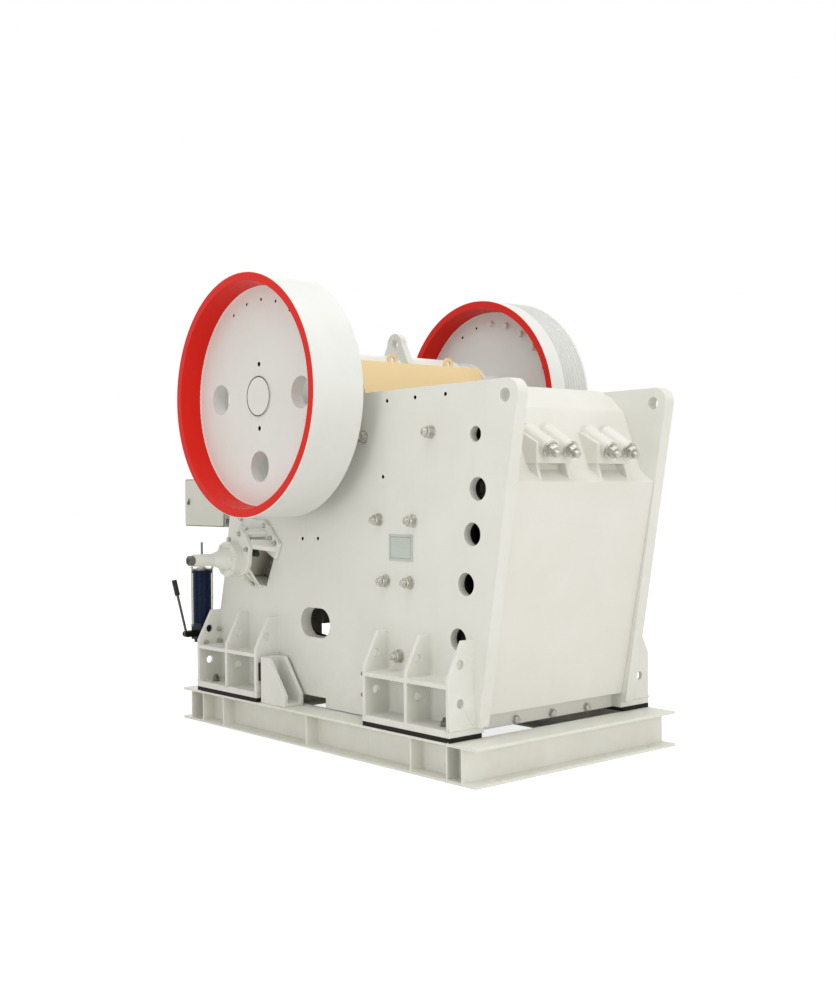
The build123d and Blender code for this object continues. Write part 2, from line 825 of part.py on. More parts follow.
with BuildPart() as pitman:
    with BuildSketch(Plane.XZ.offset(-pitman_half_width)):
        with BuildLine():
            Polyline(*pitman_outline, close=True)
        make_face()
        with Locations((seat_x, seat_z)):
            Circle(toggle_lobe_r)
    extrude(amount=2 * pitman_half_width)
    with BuildSketch(Plane.XZ.offset(-barrel_half_length)):
        with Locations((shaft_x, shaft_z)):
            Circle(barrel_r)
    extrude(amount=2 * barrel_half_length)
    for y in pocket_places:
        with BuildSketch(Plane.XZ.offset(-y - pocket_width / 2)):
            with BuildLine():
                Polyline(
                    (swing_back(pocket_top_z) - pocket_wall, pocket_top_z),
                    (swing_back(pocket_bottom_z) - pocket_wall, pocket_bottom_z),
                    (pitman_rear_top[0], pocket_bottom_z),
                    (pitman_rear_top[0], pocket_top_z),
                    close=True,
                )
            make_face()
        extrude(amount=pocket_width, mode=Mode.SUBTRACT)
    with BuildSketch(Plane.XZ.offset(-pitman_half_width)):
        with Locations((shaft_x, shaft_z)):
            Circle(eccentric_r + running_gap)
        with Locations((seat_x, seat_z)):
            Circle(toggle_head_r + running_gap)
    extrude(amount=2 * pitman_half_width, mode=Mode.SUBTRACT)
    with BuildSketch(toggle_plane.offset(-pitman_half_width)):
        with Locations((toggle_seat_far - toggle_lobe_r, 0)):
            Rectangle(2 * toggle_lobe_r, seat_mouth)
    extrude(amount=2 * pitman_half_width, mode=Mode.SUBTRACT)
    with BuildSketch(Plane.XZ.offset(-lug_thickness / 2)):
        with BuildLine():
            Polyline(
                (lug_x - lug_foot_half, lug_foot_z),
                (lug_x + lug_foot_half, lug_foot_z),
                (lug_x + lug_top_r, lug_hole_z),
                (lug_x - lug_top_r, lug_hole_z),
                close=True,
            )
        make_face()
        with Locations((lug_x, lug_hole_z)):
            Circle(lug_top_r)
            Circle(lug_hole_r, mode=Mode.SUBTRACT)
    extrude(amount=lug_thickness)
    for side in (-1, 1):
        near = rod_lug_half_gap if side > 0 else -rod_lug_half_gap - rod_lug_thickness
        with BuildSketch(Plane.XZ.offset(near)):
            with Locations((rod_pin_x, rod_pin_z)):
                Circle(rod_lug_r)
            with BuildLine():
                Polyline(
                    (rod_pin_x - rod_lug_r, rod_pin_z),
                    (rod_pin_x, rod_pin_z - rod_lug_r),
                    (pitman_heel_x, pitman_bottom_z + rod_lug_r),
                    (seat_x, seat_z - toggle_lobe_r),
                    close=True,
                )
            make_face()
            with Locations((rod_pin_x, rod_pin_z)):
                Circle(rod_pin_r + running_gap, mode=Mode.SUBTRACT)
        extrude(amount=rod_lug_thickness)
save(pitman, "pitman")

# Swing jaw die on the front of the pitman
swing_up = (-sin(radians(swing_tilt)), 0, cos(radians(swing_tilt)))
swing_out = (cos(radians(swing_tilt)), 0, sin(radians(swing_tilt)))
swing_die_foot = (swing_back(swing_die_bottom_z), 0, swing_die_bottom_z)
swing_die_plane = Plane(origin=swing_die_foot, x_dir=swing_out, z_dir=swing_up)
swing_die_length = (swing_face_top_z - swing_die_bottom_z) / cos(radians(swing_tilt))
with BuildPart() as swing_jaw_die:
    with BuildSketch(swing_die_plane):
        with BuildLine():
            die_profile()
        make_face()
    extrude(amount=swing_die_length)
save(swing_jaw_die, "swing_jaw_die")

# Guard over the pitman's head: a sloping sheet on a foot that is bolted to the shoulder, with two end cheeks
guard_bottom_x = pitman_nose_x + guard_overhang
guard_top_x = guard_bottom_x - guard_run
guard_rear_x = guard_bottom_x - guard_foot_depth
with BuildPart() as pitman_guard:
    with BuildSketch(Plane.XZ.offset(-guard_half_width)):
        with BuildLine():
            Polyline(
                (guard_rear_x, guard_bottom_z - guard_sheet),
                (guard_bottom_x, guard_bottom_z - guard_sheet),
                (guard_bottom_x, guard_bottom_z),
                (guard_top_x, guard_top_z),
                (guard_top_x - guard_sheet, guard_top_z),
                (guard_bottom_x - guard_sheet, guard_bottom_z),
                (guard_rear_x, guard_bottom_z),
                close=True,
            )
        make_face()
    extrude(amount=2 * guard_half_width)
    for start in (-guard_half_width, guard_half_width - guard_sheet):
        with BuildSketch(Plane.XZ.offset(start)):
            with BuildLine():
                Polyline(
                    (guard_rear_x, guard_bottom_z),
                    (guard_bottom_x - guard_sheet, guard_bottom_z),
                    (guard_top_x - guard_sheet, guard_top_z),
                    (guard_top_x - guard_sheet - guard_cheek_depth, guard_top_z),
                    close=True,
                )
            make_face()
        extrude(amount=guard_sheet)
    with BuildSketch(Plane.YZ.offset(guard_top_x - guard_sheet)):
        for side in (-1, 1):
            ear_y = side * guard_ear_share * guard_half_width
            with Locations((ear_y, guard_top_z + guard_ear_rise / 2)):
                Rectangle(2 * guard_ear_half, guard_ear_rise)
            with Locations((ear_y, guard_top_z + guard_ear_rise)):
                Circle(guard_ear_half)
        with Locations((0, guard_top_z - guard_ear_half / 2)):
            Rectangle(2 * guard_half_width, guard_ear_half, mode=Mode.SUBTRACT)
        for side in (-1, 1):
            with Locations((side * guard_ear_share * guard_half_width, guard_top_z + guard_ear_rise)):
                Circle(guard_ear_hole_r, mode=Mode.SUBTRACT)
    extrude(amount=guard_sheet)
save(pitman_guard, "pitman_guard")

# Rear wall: a box that guides the wedges and the toggle seat, closed by a skin along the rear edges
guide_level = seat_half_height + guide_gap
with BuildPart() as rear_wall:
    with BuildSketch(toggle_plane.offset(-inner_half_width)):
        with Locations((-wedge_stack_half - rear_block / 2, 0)):
            Rectangle(rear_block, 2 * rear_block_half)
        guide_middle = guide_level + guide_thickness / 2
        for level in (-guide_middle, guide_middle):
            with Locations((guide_length / 2 - wedge_stack_half, level)):
                Rectangle(guide_length, guide_thickness)
    extrude(amount=2 * inner_half_width)
    with BuildSketch(Plane.XZ.offset(-inner_half_width)):
        with BuildLine():
            Polyline(
                (rear_edge(rear_skin_bottom_z), rear_skin_bottom_z),
                (rear_edge(rear_skin_bottom_z) + rear_skin, rear_skin_bottom_z),
                (rear_edge(plate_heel_z) + rear_skin, plate_heel_z),
                (rear_edge(plate_hip_z) + rear_skin, plate_hip_z),
                (rear_edge(plate_waist_z) + rear_skin, plate_waist_z),
                (rear_edge(rear_skin_top_z) + rear_skin, rear_skin_top_z),
                (rear_edge(rear_skin_top_z), rear_skin_top_z),
                (rear_edge(plate_waist_z), plate_waist_z),
                (rear_edge(plate_hip_z), plate_hip_z),
                (rear_edge(plate_heel_z), plate_heel_z),
                close=True,
            )
        make_face()
        for z in (adjuster_z - rear_rib_thickness, adjuster_z + rear_block_half / 2):
            with BuildLine():
                Polyline(
                    (rear_edge(z), z),
                    (adjuster_x - wedge_stack_half - rear_block / 2, z),
                    (adjuster_x - wedge_stack_half - rear_block / 2, z + rear_rib_thickness),
                    (rear_edge(z + rear_rib_thickness), z + rear_rib_thickness),
                    close=True,
                )
            make_face()
    extrude(amount=2 * inner_half_width)
    with BuildSketch(Plane.YZ.offset(rear_edge(rear_skin_bottom_z) - rear_skin)):
        with Locations((0, rear_notch_top_z - rear_block)):
            Rectangle(2 * (hanger_half_width + rear_notch_gap), 2 * rear_block)
    extrude(amount=3 * rear_skin, mode=Mode.SUBTRACT)
save(rear_wall, "rear_wall")

# Adjusting wedges, one driven from each side, thick at their driven ends
wedge_plane = Plane(toggle_plane.origin, x_dir=toggle_plane.x_dir, z_dir=toggle_plane.y_dir)
wedge_thin_taper = wedge_taper * inner_half_width / wedge_end
with BuildPart() as adjusting_wedges:
    for side in (1, -1):
        with BuildSketch(wedge_plane.offset(-wedge_half_height)):
            with BuildLine():
                Polyline(
                    (-side * wedge_stack_half, side * wedge_end),
                    (side * (wedge_taper - wedge_film), side * wedge_end),
                    (-side * (wedge_thin_taper + wedge_film), -side * inner_half_width),
                    (-side * wedge_stack_half, -side * inner_half_width),
                    close=True,
                )
            make_face()
        extrude(amount=2 * wedge_half_height)
save(adjusting_wedges, "adjusting_wedges")

# Toggle seat, a beam behind the toggle plate with a deep pocket for the plate's rear end
with BuildPart() as toggle_seat:
    with BuildSketch(toggle_plane.offset(-inner_half_width + guide_gap)):
        with Locations(((wedge_stack_half + seat_depth) / 2, 0)):
            Rectangle(seat_depth - wedge_stack_half, 2 * seat_half_height)
        with Locations((seat_depth - seat_pocket / 2, 0)):
            Rectangle(seat_pocket, seat_mouth, mode=Mode.SUBTRACT)
    extrude(amount=2 * (inner_half_width - guide_gap))
save(toggle_seat, "toggle_seat")

# Toggle plate, with a round head that turns in the pitman's seat
toggle_rear = seat_depth - seat_pocket + toggle_rear_gap
with BuildPart() as toggle_plate:
    with BuildSketch(toggle_plane.offset(-toggle_half_width)):
        with Locations(((toggle_rear + toggle_seat_far) / 2, 0)):
            Rectangle(toggle_seat_far - toggle_rear, 2 * toggle_half_thickness)
        with Locations((toggle_seat_far, 0)):
            Circle(toggle_head_r)
    extrude(amount=2 * toggle_half_width)
save(toggle_plate, "toggle_plate")

# Adjuster bracket on the side plate, open towards the front so that the wedge's end shows
bracket_start = outer_half_width + bracket_flange
bracket_end = bracket_start + bracket_depth - bracket_flange
bracket_reach = bracket_half_length + bracket_flange_margin
rib_plane = Plane(toggle_plane.origin, x_dir=(0, 1, 0), z_dir=toggle_plane.x_dir)
with BuildPart() as adjuster_bracket_left:
    with BuildSketch(toggle_plane.offset(outer_half_width)):
        with Locations((0, bracket_lift)):
            Rectangle(2 * bracket_reach, 2 * (bracket_half_height + bracket_flange_margin))
        for level, along, lug_rise in bracket_ribs:
            lug_height = bracket_flange_margin + lug_rise
            with Locations((along, bracket_lift + level * (bracket_half_height + lug_height / 2))):
                Rectangle(bracket_rib, lug_height)
        with Locations(((bracket_reach - window_half_length) / 2, 0)):
            Rectangle(bracket_reach + window_half_length, 2 * window_half_height, mode=Mode.SUBTRACT)
    extrude(amount=bracket_flange)
    with BuildSketch(toggle_plane.offset(bracket_start)):
        for level in (-1, 1):
            with Locations((0, bracket_lift + level * (bracket_half_height - bracket_wall / 2))):
                Rectangle(2 * bracket_half_length, bracket_wall)
        with Locations((bracket_wall / 2 - bracket_half_length, bracket_lift)):
            Rectangle(bracket_wall, 2 * bracket_half_height)
    extrude(amount=bracket_end - bracket_start)
    with BuildSketch(toggle_plane.offset(bracket_end)):
        with Locations(((bracket_end_front - bracket_half_length) / 2, bracket_lift)):
            Rectangle(bracket_end_front + bracket_half_length, 2 * bracket_half_height)
        Circle(cylinder_nut_r, mode=Mode.SUBTRACT)
    extrude(amount=bracket_end_plate)
    for level, along, lug_rise in bracket_ribs:
        rib_low = bracket_lift + level * bracket_half_height
        rib_high = rib_low + level * (bracket_flange_margin + lug_rise)
        with BuildSketch(rib_plane.offset(along - bracket_rib / 2)):
            with BuildLine():
                Polyline((-bracket_start, rib_low), (-bracket_start, rib_high), (-bracket_end, rib_low), close=True)
            make_face()
        extrude(amount=bracket_rib)
save_mirrored(adjuster_bracket_left, "adjuster_bracket")

# Adjuster cylinder: flange, tube, end nut, and the rod that reaches the wedge
cylinder_start = bracket_end + bracket_end_plate
cylinder_tube_start = cylinder_start + cylinder_flange
cylinder_tube_end = cylinder_start + cylinder_length
with BuildPart() as adjuster_cylinder_left:
    for start, end, r in (
        (wedge_end, cylinder_start, cylinder_nut_r - guide_gap),
        (cylinder_start, cylinder_tube_start, cylinder_flange_r),
        (cylinder_tube_start, cylinder_tube_end, cylinder_r),
    ):
        with BuildSketch(toggle_plane.offset(start)):
            Circle(r)
        extrude(amount=end - start)
    with BuildSketch(toggle_plane.offset(cylinder_tube_start)):
        Circle(cylinder_collar_r)
    extrude(amount=cylinder_collar, taper=cylinder_collar_taper)
    with BuildSketch(toggle_plane.offset(cylinder_tube_end)):
        RegularPolygon(cylinder_nut_r, 6)
    extrude(amount=cylinder_nut)
save_mirrored(adjuster_cylinder_left, "adjuster_cylinder")

# Hanger with the spring housing of the tension rod, in a notch under the rear wall
rod_bore_x = plate_rear_bottom_x + rod_bore_inset
rod_reach = Vector(rod_bore_x - rod_pin_x, 0, rod_bore_z - rod_pin_z)
rod_plane = Plane(origin=(rod_bore_x, 0, rod_bore_z), z_dir=rod_reach.normalized())
rod_length = rod_reach.length
hanger_rear_x = rear_edge(rear_notch_top_z)
with BuildPart() as tension_housing:
    with Locations((hanger_rear_x + hanger_thickness / 2, 0, (hanger_bottom_z + rear_notch_top_z) / 2)):
        Box(hanger_thickness, 2 * hanger_half_width, rear_notch_top_z - hanger_bottom_z)
    with BuildSketch(rod_plane):
        Circle(housing_tube_r)
    extrude(amount=housing_tube_length)
    with BuildSketch(rod_plane.offset(-hanger_thickness)):
        Circle(rod_bore_r)
    extrude(amount=2 * housing_tube_length, mode=Mode.SUBTRACT)
save(tension_housing, "tension_housing")

# Tension rod with its pin in the pitman's lugs, and the washer and nut behind the housing
washer_start = rod_length + housing_tube_length + rod_washer_gap
pin_plane = Plane(origin=(rod_pin_x, 0, rod_pin_z), z_dir=rod_plane.z_dir)
with BuildPart() as tension_rod:
    with BuildSketch(Plane.XZ.shift_origin((rod_pin_x, 0, rod_pin_z)).offset(-rod_eye_half)):
        Circle(rod_eye_r)
    extrude(amount=2 * rod_eye_half)
    pin_half = rod_lug_half_gap + rod_lug_thickness
    with BuildSketch(Plane.XZ.shift_origin((rod_pin_x, 0, rod_pin_z)).offset(-pin_half)):
        Circle(rod_pin_r)
    extrude(amount=2 * pin_half)
    for start, end, r in (
        (0, washer_start + rod_washer + rod_nut, rod_r),
        (washer_start, washer_start + rod_washer, rod_washer_r),
    ):
        with BuildSketch(pin_plane.offset(start)):
            Circle(r)
        extrude(amount=end - start)
    with BuildSketch(pin_plane.offset(washer_start + rod_washer)):
        RegularPolygon(rod_nut_r, 6)
    extrude(amount=rod_nut)
save(tension_rod, "tension_rod")

# Feet: a sole under the side plate, a shelf and three upright gussets that rise to the plate
gusset_outline = [
    (-outer_half_width, plate_bottom_z),
    (-foot_outer, plate_bottom_z),
    (-foot_outer, plate_bottom_z + gusset_shoulder_rise),
    (-outer_half_width - gusset_top_out, plate_bottom_z + gusset_top_rise),
    (-outer_half_width, plate_bottom_z + gusset_top_rise),
]
foot_front_start = plate_front_bottom_x - foot_front_setback - foot_front_length
foot_rear_start = plate_rear_bottom_x - foot_rear_overhang
feet = (
    ("front", foot_front_start, foot_front_length, foot_front_middle_share),
    ("rear", foot_rear_start, foot_rear_length, foot_rear_middle_share),
)
for name, foot_start, foot_length, middle_share in feet:
    foot_middle = foot_start + foot_length / 2
    shelf_z = plate_bottom_z + foot_shelf_rise + foot_shelf / 2
    with BuildPart() as foot:
        with Locations((foot_middle, -(foot_outer + inner_half_width) / 2, pad_top_z + foot_sole / 2)):
            Box(foot_length, foot_outer - inner_half_width, foot_sole)
        with Locations((foot_middle, -(foot_outer + outer_half_width) / 2, shelf_z)):
            Box(foot_length, foot_outer - outer_half_width, foot_shelf)
        for x in (foot_start, foot_start + middle_share * foot_length, foot_start + foot_length - foot_plate):
            with BuildSketch(Plane.YZ.offset(x)):
                with BuildLine():
                    Polyline(*gusset_outline, close=True)
                make_face()
                for rise in (gusset_low_hole_rise, gusset_high_hole_rise):
                    with Locations((-outer_half_width - gusset_hole_out, plate_bottom_z + rise)):
                        Circle(gusset_hole_r, mode=Mode.SUBTRACT)
            extrude(amount=foot_plate)
    save_mirrored(foot, name + "_foot")

# Rubber pads between the feet and the base
pad_inner = inner_half_width + pad_inset
with BuildPart() as rubber_pads:
    for name, foot_start, foot_length, middle_share in feet:
        for side in (-1, 1):
            pad_y = side * (foot_outer + pad_inner) / 2
            with Locations((foot_start + foot_length / 2, pad_y, beam_height + pad_thickness / 2)):
                Box(foot_length, foot_outer - pad_inner, pad_thickness)
save(rubber_pads, "rubber_pads")

# Stoppers welded on the base in front of the rear feet, and their rubber buffers
buffer_rear_x = foot_rear_start + foot_rear_length
stopper_rear_x = buffer_rear_x + stopper_buffer
stopper_front_x = stopper_rear_x + stopper_length
stopper_sole_z = beam_height + stopper_base
stopper_top_z = beam_height + stopper_rise
stopper_outer = foot_outer - stopper_outer_gap
stopper_inner = outer_half_width + stopper_inner_gap
stopper_y = (stopper_outer + stopper_inner) / 2
stopper_width = stopper_outer - stopper_inner
with BuildPart() as stopper_left:
    with Locations(((stopper_rear_x + stopper_front_x) / 2, -stopper_y, beam_height + stopper_base / 2)):
        Box(stopper_length, stopper_width, stopper_base)
    for start in (stopper_inner, stopper_outer - stopper_plate):
        with BuildSketch(Plane.XZ.offset(start)):
            with BuildLine():
                Polyline(
                    (stopper_rear_x, stopper_sole_z),
                    (stopper_front_x, stopper_sole_z),
                    (stopper_front_x, beam_height + stopper_nose_rise),
                    (stopper_rear_x + stopper_top_length, stopper_top_z),
                    (stopper_rear_x, stopper_top_z),
                    close=True,
                )
            make_face()
        extrude(amount=stopper_plate)
    with Locations((stopper_rear_x + stopper_plate / 2, -stopper_y, (stopper_sole_z + stopper_top_z) / 2)):
        Box(stopper_plate, stopper_width, stopper_top_z - stopper_sole_z)
save_mirrored(stopper_left, "stopper")
buffer_z = beam_height + stopper_buffer_rise + stopper_buffer_height / 2
with BuildPart() as stopper_buffers:
    for side in (-1, 1):
        with Locations((buffer_rear_x + stopper_buffer / 2, side * stopper_y, buffer_z)):
            Box(stopper_buffer, stopper_width, stopper_buffer_height)
save(stopper_buffers, "stopper_buffers")

# Blank nameplate on the left side plate
with BuildPart() as nameplate:
    with Locations((nameplate_x, -outer_half_width - nameplate_sheet / 2, nameplate_z)):
        Box(nameplate_length, nameplate_sheet, nameplate_height)
save(nameplate, "nameplate")

# Control cabinet behind the left rear edge, on a bracket from the rear wall
cabinet_front_x = plate_waist_x - cabinet_gap
cabinet_bracket_low_z = cabinet_low_z + cabinet_bracket_rise
cabinet_bracket_high_z = cabinet_bracket_low_z + cabinet_bracket_height
cabinet_bracket_start = outer_half_width - cabinet_width + cabinet_bracket_inset
with BuildPart() as control_cabinet:
    with BuildSketch(Plane.XZ.offset(outer_half_width - cabinet_width)):
        with Locations((cabinet_front_x - cabinet_length / 2, cabinet_low_z + cabinet_height / 2)):
            Rectangle(cabinet_length, cabinet_height)
    extrude(amount=cabinet_width)
save(control_cabinet, "control_cabinet")
with BuildPart() as cabinet_bracket:
    with BuildSketch(Plane.XZ.offset(cabinet_bracket_start)):
        with BuildLine():
            Polyline(
                (cabinet_front_x, cabinet_bracket_low_z),
                (rear_edge(cabinet_bracket_low_z), cabinet_bracket_low_z),
                (rear_edge(cabinet_bracket_high_z), cabinet_bracket_high_z),
                (cabinet_front_x, cabinet_bracket_high_z),
                close=True,
            )
        make_face()
    extrude(amount=cabinet_bracket_width)
save(cabinet_bracket, "cabinet_bracket")

# Hand grease pump behind the left rear foot: bracket, block, reservoir, cap, pin and the ears for its lever
pump_x = pump_end_margin - base_length / 2
pump_y = -outer_half_width - pump_out
pump_low_z = plate_bottom_z + pump_low_rise
pump_block_top_z = pump_low_z + pump_block_height
pump_top_z = pump_block_top_z + pump_tank_height
pivot = (pump_x, pump_y - lever_pivot_out, pump_low_z + lever_pivot_rise)
ear_half = lever_eye / 2 + lever_ear_gap + lever_ear
with BuildPart() as grease_pump:
    pump_bracket_z = pump_low_z - pump_bracket_drop + pump_bracket_height / 2
    with Locations(((pump_x + foot_rear_start) / 2, pump_y, pump_bracket_z)):
        Box(foot_rear_start - pump_x, 2 * pump_bracket_half, pump_bracket_height)
    with Locations((pump_x, pump_y, pump_low_z + pump_block_height / 2)):
        Box(2 * pump_block_half, 2 * pump_block_half, pump_block_height)
    for start, end, r in (
        (pump_block_top_z, pump_top_z - pump_cap, pump_r),
        (pump_top_z - pump_cap, pump_top_z, pump_cap_r),
        (pump_top_z, pump_top_z + pump_pin_height, pump_pin_r),
    ):
        with BuildSketch(Plane.XY.offset(start)):
            with Locations((pump_x, pump_y)):
                Circle(r)
        extrude(amount=end - start)
    for side in (-1, 1):
        start = lever_eye / 2 + lever_ear_gap if side > 0 else -ear_half
        with BuildSketch(Plane.YZ.offset(pump_x + start)):
            with Locations((pivot[1], pivot[2])):
                Circle(lever_ear_r)
            with Locations(((pivot[1] + pump_y) / 2, pivot[2])):
                Rectangle(lever_pivot_out, 2 * lever_ear_r)
        extrude(amount=lever_ear)
    with BuildSketch(Plane.YZ.offset(pump_x - ear_half)):
        with Locations((pivot[1], pivot[2])):
            Circle(lever_pin_r)
    extrude(amount=2 * ear_half)
save(grease_pump, "grease_pump")

# Pump lever with its grip
lever_reach = Vector(0, -lever_lean_out, lever_height)
lever_plane = Plane(origin=pivot, z_dir=lever_reach.normalized())
with BuildPart() as pump_lever:
    with BuildSketch(Plane.YZ.offset(pump_x - lever_eye / 2)):
        with Locations((pivot[1], pivot[2])):
            Circle(lever_eye_r)
    extrude(amount=lever_eye)
    with BuildSketch(lever_plane):
        Circle(lever_eye / 2)
    extrude(amount=lever_reach.length)
    with BuildSketch(lever_plane.offset(lever_reach.length - grip_length)):
        Circle(grip_r)
    extrude(amount=grip_length)
    with BuildSketch(Plane.YZ.offset(pump_x - lever_eye / 2)):
        with Locations((pivot[1], pivot[2])):
            Circle(lever_pin_r + running_gap)
    extrude(amount=lever_eye, mode=Mode.SUBTRACT)
save(pump_lever, "pump_lever")
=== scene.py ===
from math import cos, pi, radians, sin

import bmesh
import bpy
from mathutils import Matrix, Vector


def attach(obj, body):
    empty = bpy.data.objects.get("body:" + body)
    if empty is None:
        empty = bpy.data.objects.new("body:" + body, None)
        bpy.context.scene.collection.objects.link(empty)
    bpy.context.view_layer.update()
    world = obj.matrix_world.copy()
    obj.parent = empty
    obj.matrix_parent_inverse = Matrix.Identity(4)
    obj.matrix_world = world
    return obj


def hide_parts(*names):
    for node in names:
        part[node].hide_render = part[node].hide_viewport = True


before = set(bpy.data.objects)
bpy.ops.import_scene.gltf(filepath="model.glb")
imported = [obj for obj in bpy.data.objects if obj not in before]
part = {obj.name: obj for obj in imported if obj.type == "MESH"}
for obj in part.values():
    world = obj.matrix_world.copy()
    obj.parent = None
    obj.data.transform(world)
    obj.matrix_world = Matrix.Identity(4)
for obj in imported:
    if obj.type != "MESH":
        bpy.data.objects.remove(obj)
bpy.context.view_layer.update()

# Camera
# It stands at shoulder height off the machine's front left corner and looks nearly level,
# so the left side plate and the front wall show about equally.


def put_in_scene(name, data):
    """A new object in the scene."""
    made = bpy.data.objects.new(name, data)
    bpy.context.scene.collection.objects.link(made)
    return made


camera_place = Vector((5.9641, -5.1646, 1.4996))
camera_turn, camera_rise, camera_roll = radians(48.84), radians(0.601), radians(-0.424)
lens_mm = 46.33

back = Vector((sin(camera_turn) * cos(camera_rise), -cos(camera_turn) * cos(camera_rise), sin(camera_rise)))
level = Vector((cos(camera_turn), sin(camera_turn), 0.0))
upright = back.cross(level)
rolled_right = cos(camera_roll) * level + sin(camera_roll) * upright
rolled_up = cos(camera_roll) * upright - sin(camera_roll) * level
camera_data = bpy.data.cameras.new("camera")
camera_data.sensor_width = 36.0
camera_data.lens = lens_mm
camera_data.clip_end = 200.0
camera = put_in_scene("camera", camera_data)
axes = Matrix((rolled_right, rolled_up, back)).transposed()
camera.matrix_world = Matrix.Translation(camera_place) @ axes.to_4x4()
bpy.context.scene.camera = camera

# Studio
# A pale workshop floor and a white surround, with a broad lamp overhead, one ahead of the
# front wall and weaker ones at the sides, as for a catalogue picture.
bpy.context.scene.view_settings.view_transform = "Standard"


def tone(red, green, blue):
    """A colour as the paint maker's chart gives it, from 0 to 255, as the light it sends back."""
    return tuple(
        (c / 255 / 12.92 if c / 255 <= 0.04045 else ((c / 255 + 0.055) / 1.055) ** 2.4)
        for c in (red, green, blue)
    ) + (1.0,)


def feed(tree, node, feeds):
    """Feeds a node's inputs, each with a plain value or another node's output."""
    for key, value in feeds.items():
        if isinstance(value, bpy.types.NodeSocket):
            tree.links.new(value, node.inputs[key])
        else:
            node.inputs[key].default_value = value


def add_node(tree, kind, feeds=None, **settings):
    """A node with its settings made and its inputs fed."""
    made = tree.nodes.new(kind)
    for name, value in settings.items():
        setattr(made, name, value)
    feed(tree, made, feeds or {})
    return made


def seen_straight(tree):
    """1 for what is seen straight, in a gloss or through glass, and 0 for light that falls on things."""
    path = add_node(tree, "ShaderNodeLightPath").outputs
    gloss = add_node(tree, "ShaderNodeMath", {0: path["Is Camera Ray"], 1: path["Is Glossy Ray"]},
                     operation="MAXIMUM")
    return add_node(tree, "ShaderNodeMath", {0: gloss.outputs[0], 1: path["Is Transmission Ray"]},
                    operation="MAXIMUM").outputs[0]


surround_light, surround_colour, white = 0.66, (1.0, 0.985, 0.94, 1.0), (1.0, 1.0, 1.0, 1.0)
world = bpy.data.worlds.new("surround")
bpy.context.scene.world = world
world.use_nodes = True
tree = world.node_tree
tree.nodes.clear()
soft = add_node(tree, "ShaderNodeBackground", {"Color": surround_colour, "Strength": surround_light})
plain = add_node(tree, "ShaderNodeBackground", {"Color": white, "Strength": 1.0})
either = add_node(tree, "ShaderNodeMixShader",
                  {0: seen_straight(tree), 1: soft.outputs[0], 2: plain.outputs[0]})
add_node(tree, "ShaderNodeOutputWorld", {"Surface": either.outputs[0]})

floor_material = bpy.data.materials.new("studio_floor")
floor_material.use_nodes = True
tree = floor_material.node_tree
tree.nodes.clear()
flat = add_node(tree, "ShaderNodeBsdfDiffuse", {"Color": tone(238, 237, 233)})
floor_glow, floor_glow_share = 1.47, 0.55
glow = add_node(tree, "ShaderNodeEmission", {"Color": white, "Strength": floor_glow})
pale = add_node(tree, "ShaderNodeMixShader", {0: floor_glow_share, 1: flat.outputs[0], 2: glow.outputs[0]})
either = add_node(tree, "ShaderNodeMixShader",
                  {0: seen_straight(tree), 1: flat.outputs[0], 2: pale.outputs[0]})
add_node(tree, "ShaderNodeOutputMaterial", {"Surface": either.outputs[0]})
floor_half = 60.0
floor_mesh = bpy.data.meshes.new("floor")
corners = [(x * floor_half, y * floor_half, 0.0) for x, y in ((-1, -1), (1, -1), (1, 1), (-1, 1))]
floor_mesh.from_pydata(corners, [], [(0, 1, 2, 3)])
floor_mesh.materials.append(floor_material)
floor = put_in_scene("floor", floor_mesh)

# Each lamp's name, place, what it points at, the side of its square and its watts
lamp_rows = (
    ("lamp_overhead", (2.2, -1.4, 7.0), (0.6, 0.0, 1.0), 6.0, 182.0),
    ("lamp_ahead", (7.5, -1.0, 1.5), (1.0, 0.0, 0.7), 2.8, 80.0),
    ("lamp_left", (1.5, -7.5, 1.7), (0.0, -0.5, 0.8), 3.0, 70.0),
    ("lamp_right", (4.5, 5.5, 4.2), (0.2, 0.6, 1.6), 3.0, 34.0),
    ("lamp_behind", (-6.5, 4.5, 4.4), (0.0, 0.0, 1.2), 4.0, 110.0),
)
cool_white = (0.985, 0.992, 1.0)
for name, place, target, side, watts in lamp_rows:
    lamp = bpy.data.lights.new(name, "AREA")
    lamp.shape, lamp.size, lamp.energy = "SQUARE", side, watts
    lamp.color = cool_white
    hung = put_in_scene(name, lamp)
    hung.location = place
    hung.rotation_euler = (Vector(target) - Vector(place)).to_track_quat("-Z", "Y").to_euler()

# Base frame
# Four rolled H beams with welded stiffeners, primed and sprayed with the machine's cream enamel.
# The side beams butt against the cross beams and are welded all round.


def new_group(name, inputs, outputs):
    """An empty shader node group with named inputs and outputs."""
    group = bpy.data.node_groups.new(name, "ShaderNodeTree")
    for label, kind, value in inputs:
        socket = group.interface.new_socket(label, in_out="INPUT", socket_type=kind)
        socket.default_value = value
    for label, kind in outputs:
        group.interface.new_socket(label, in_out="OUTPUT", socket_type=kind)
    return group, add_node(group, "NodeGroupInput"), group.nodes.new("NodeGroupOutput")


def noise(tree, where, scale, detail=2.0, rough=0.5):
    """Soft random grey at a scale in cells to the metre."""
    return add_node(tree, "ShaderNodeTexNoise",
                    {"Vector": where, "Scale": scale, "Detail": detail, "Roughness": rough}).outputs["Fac"]


def drawn_out(tree, where, scale, detail=3.0):
    """Soft random grey stretched along the axes, as runs and tool marks are."""
    grain = add_node(tree, "ShaderNodeMapping", {"Vector": where, "Scale": scale}).outputs[0]
    return noise(tree, grain, 1.0, detail)


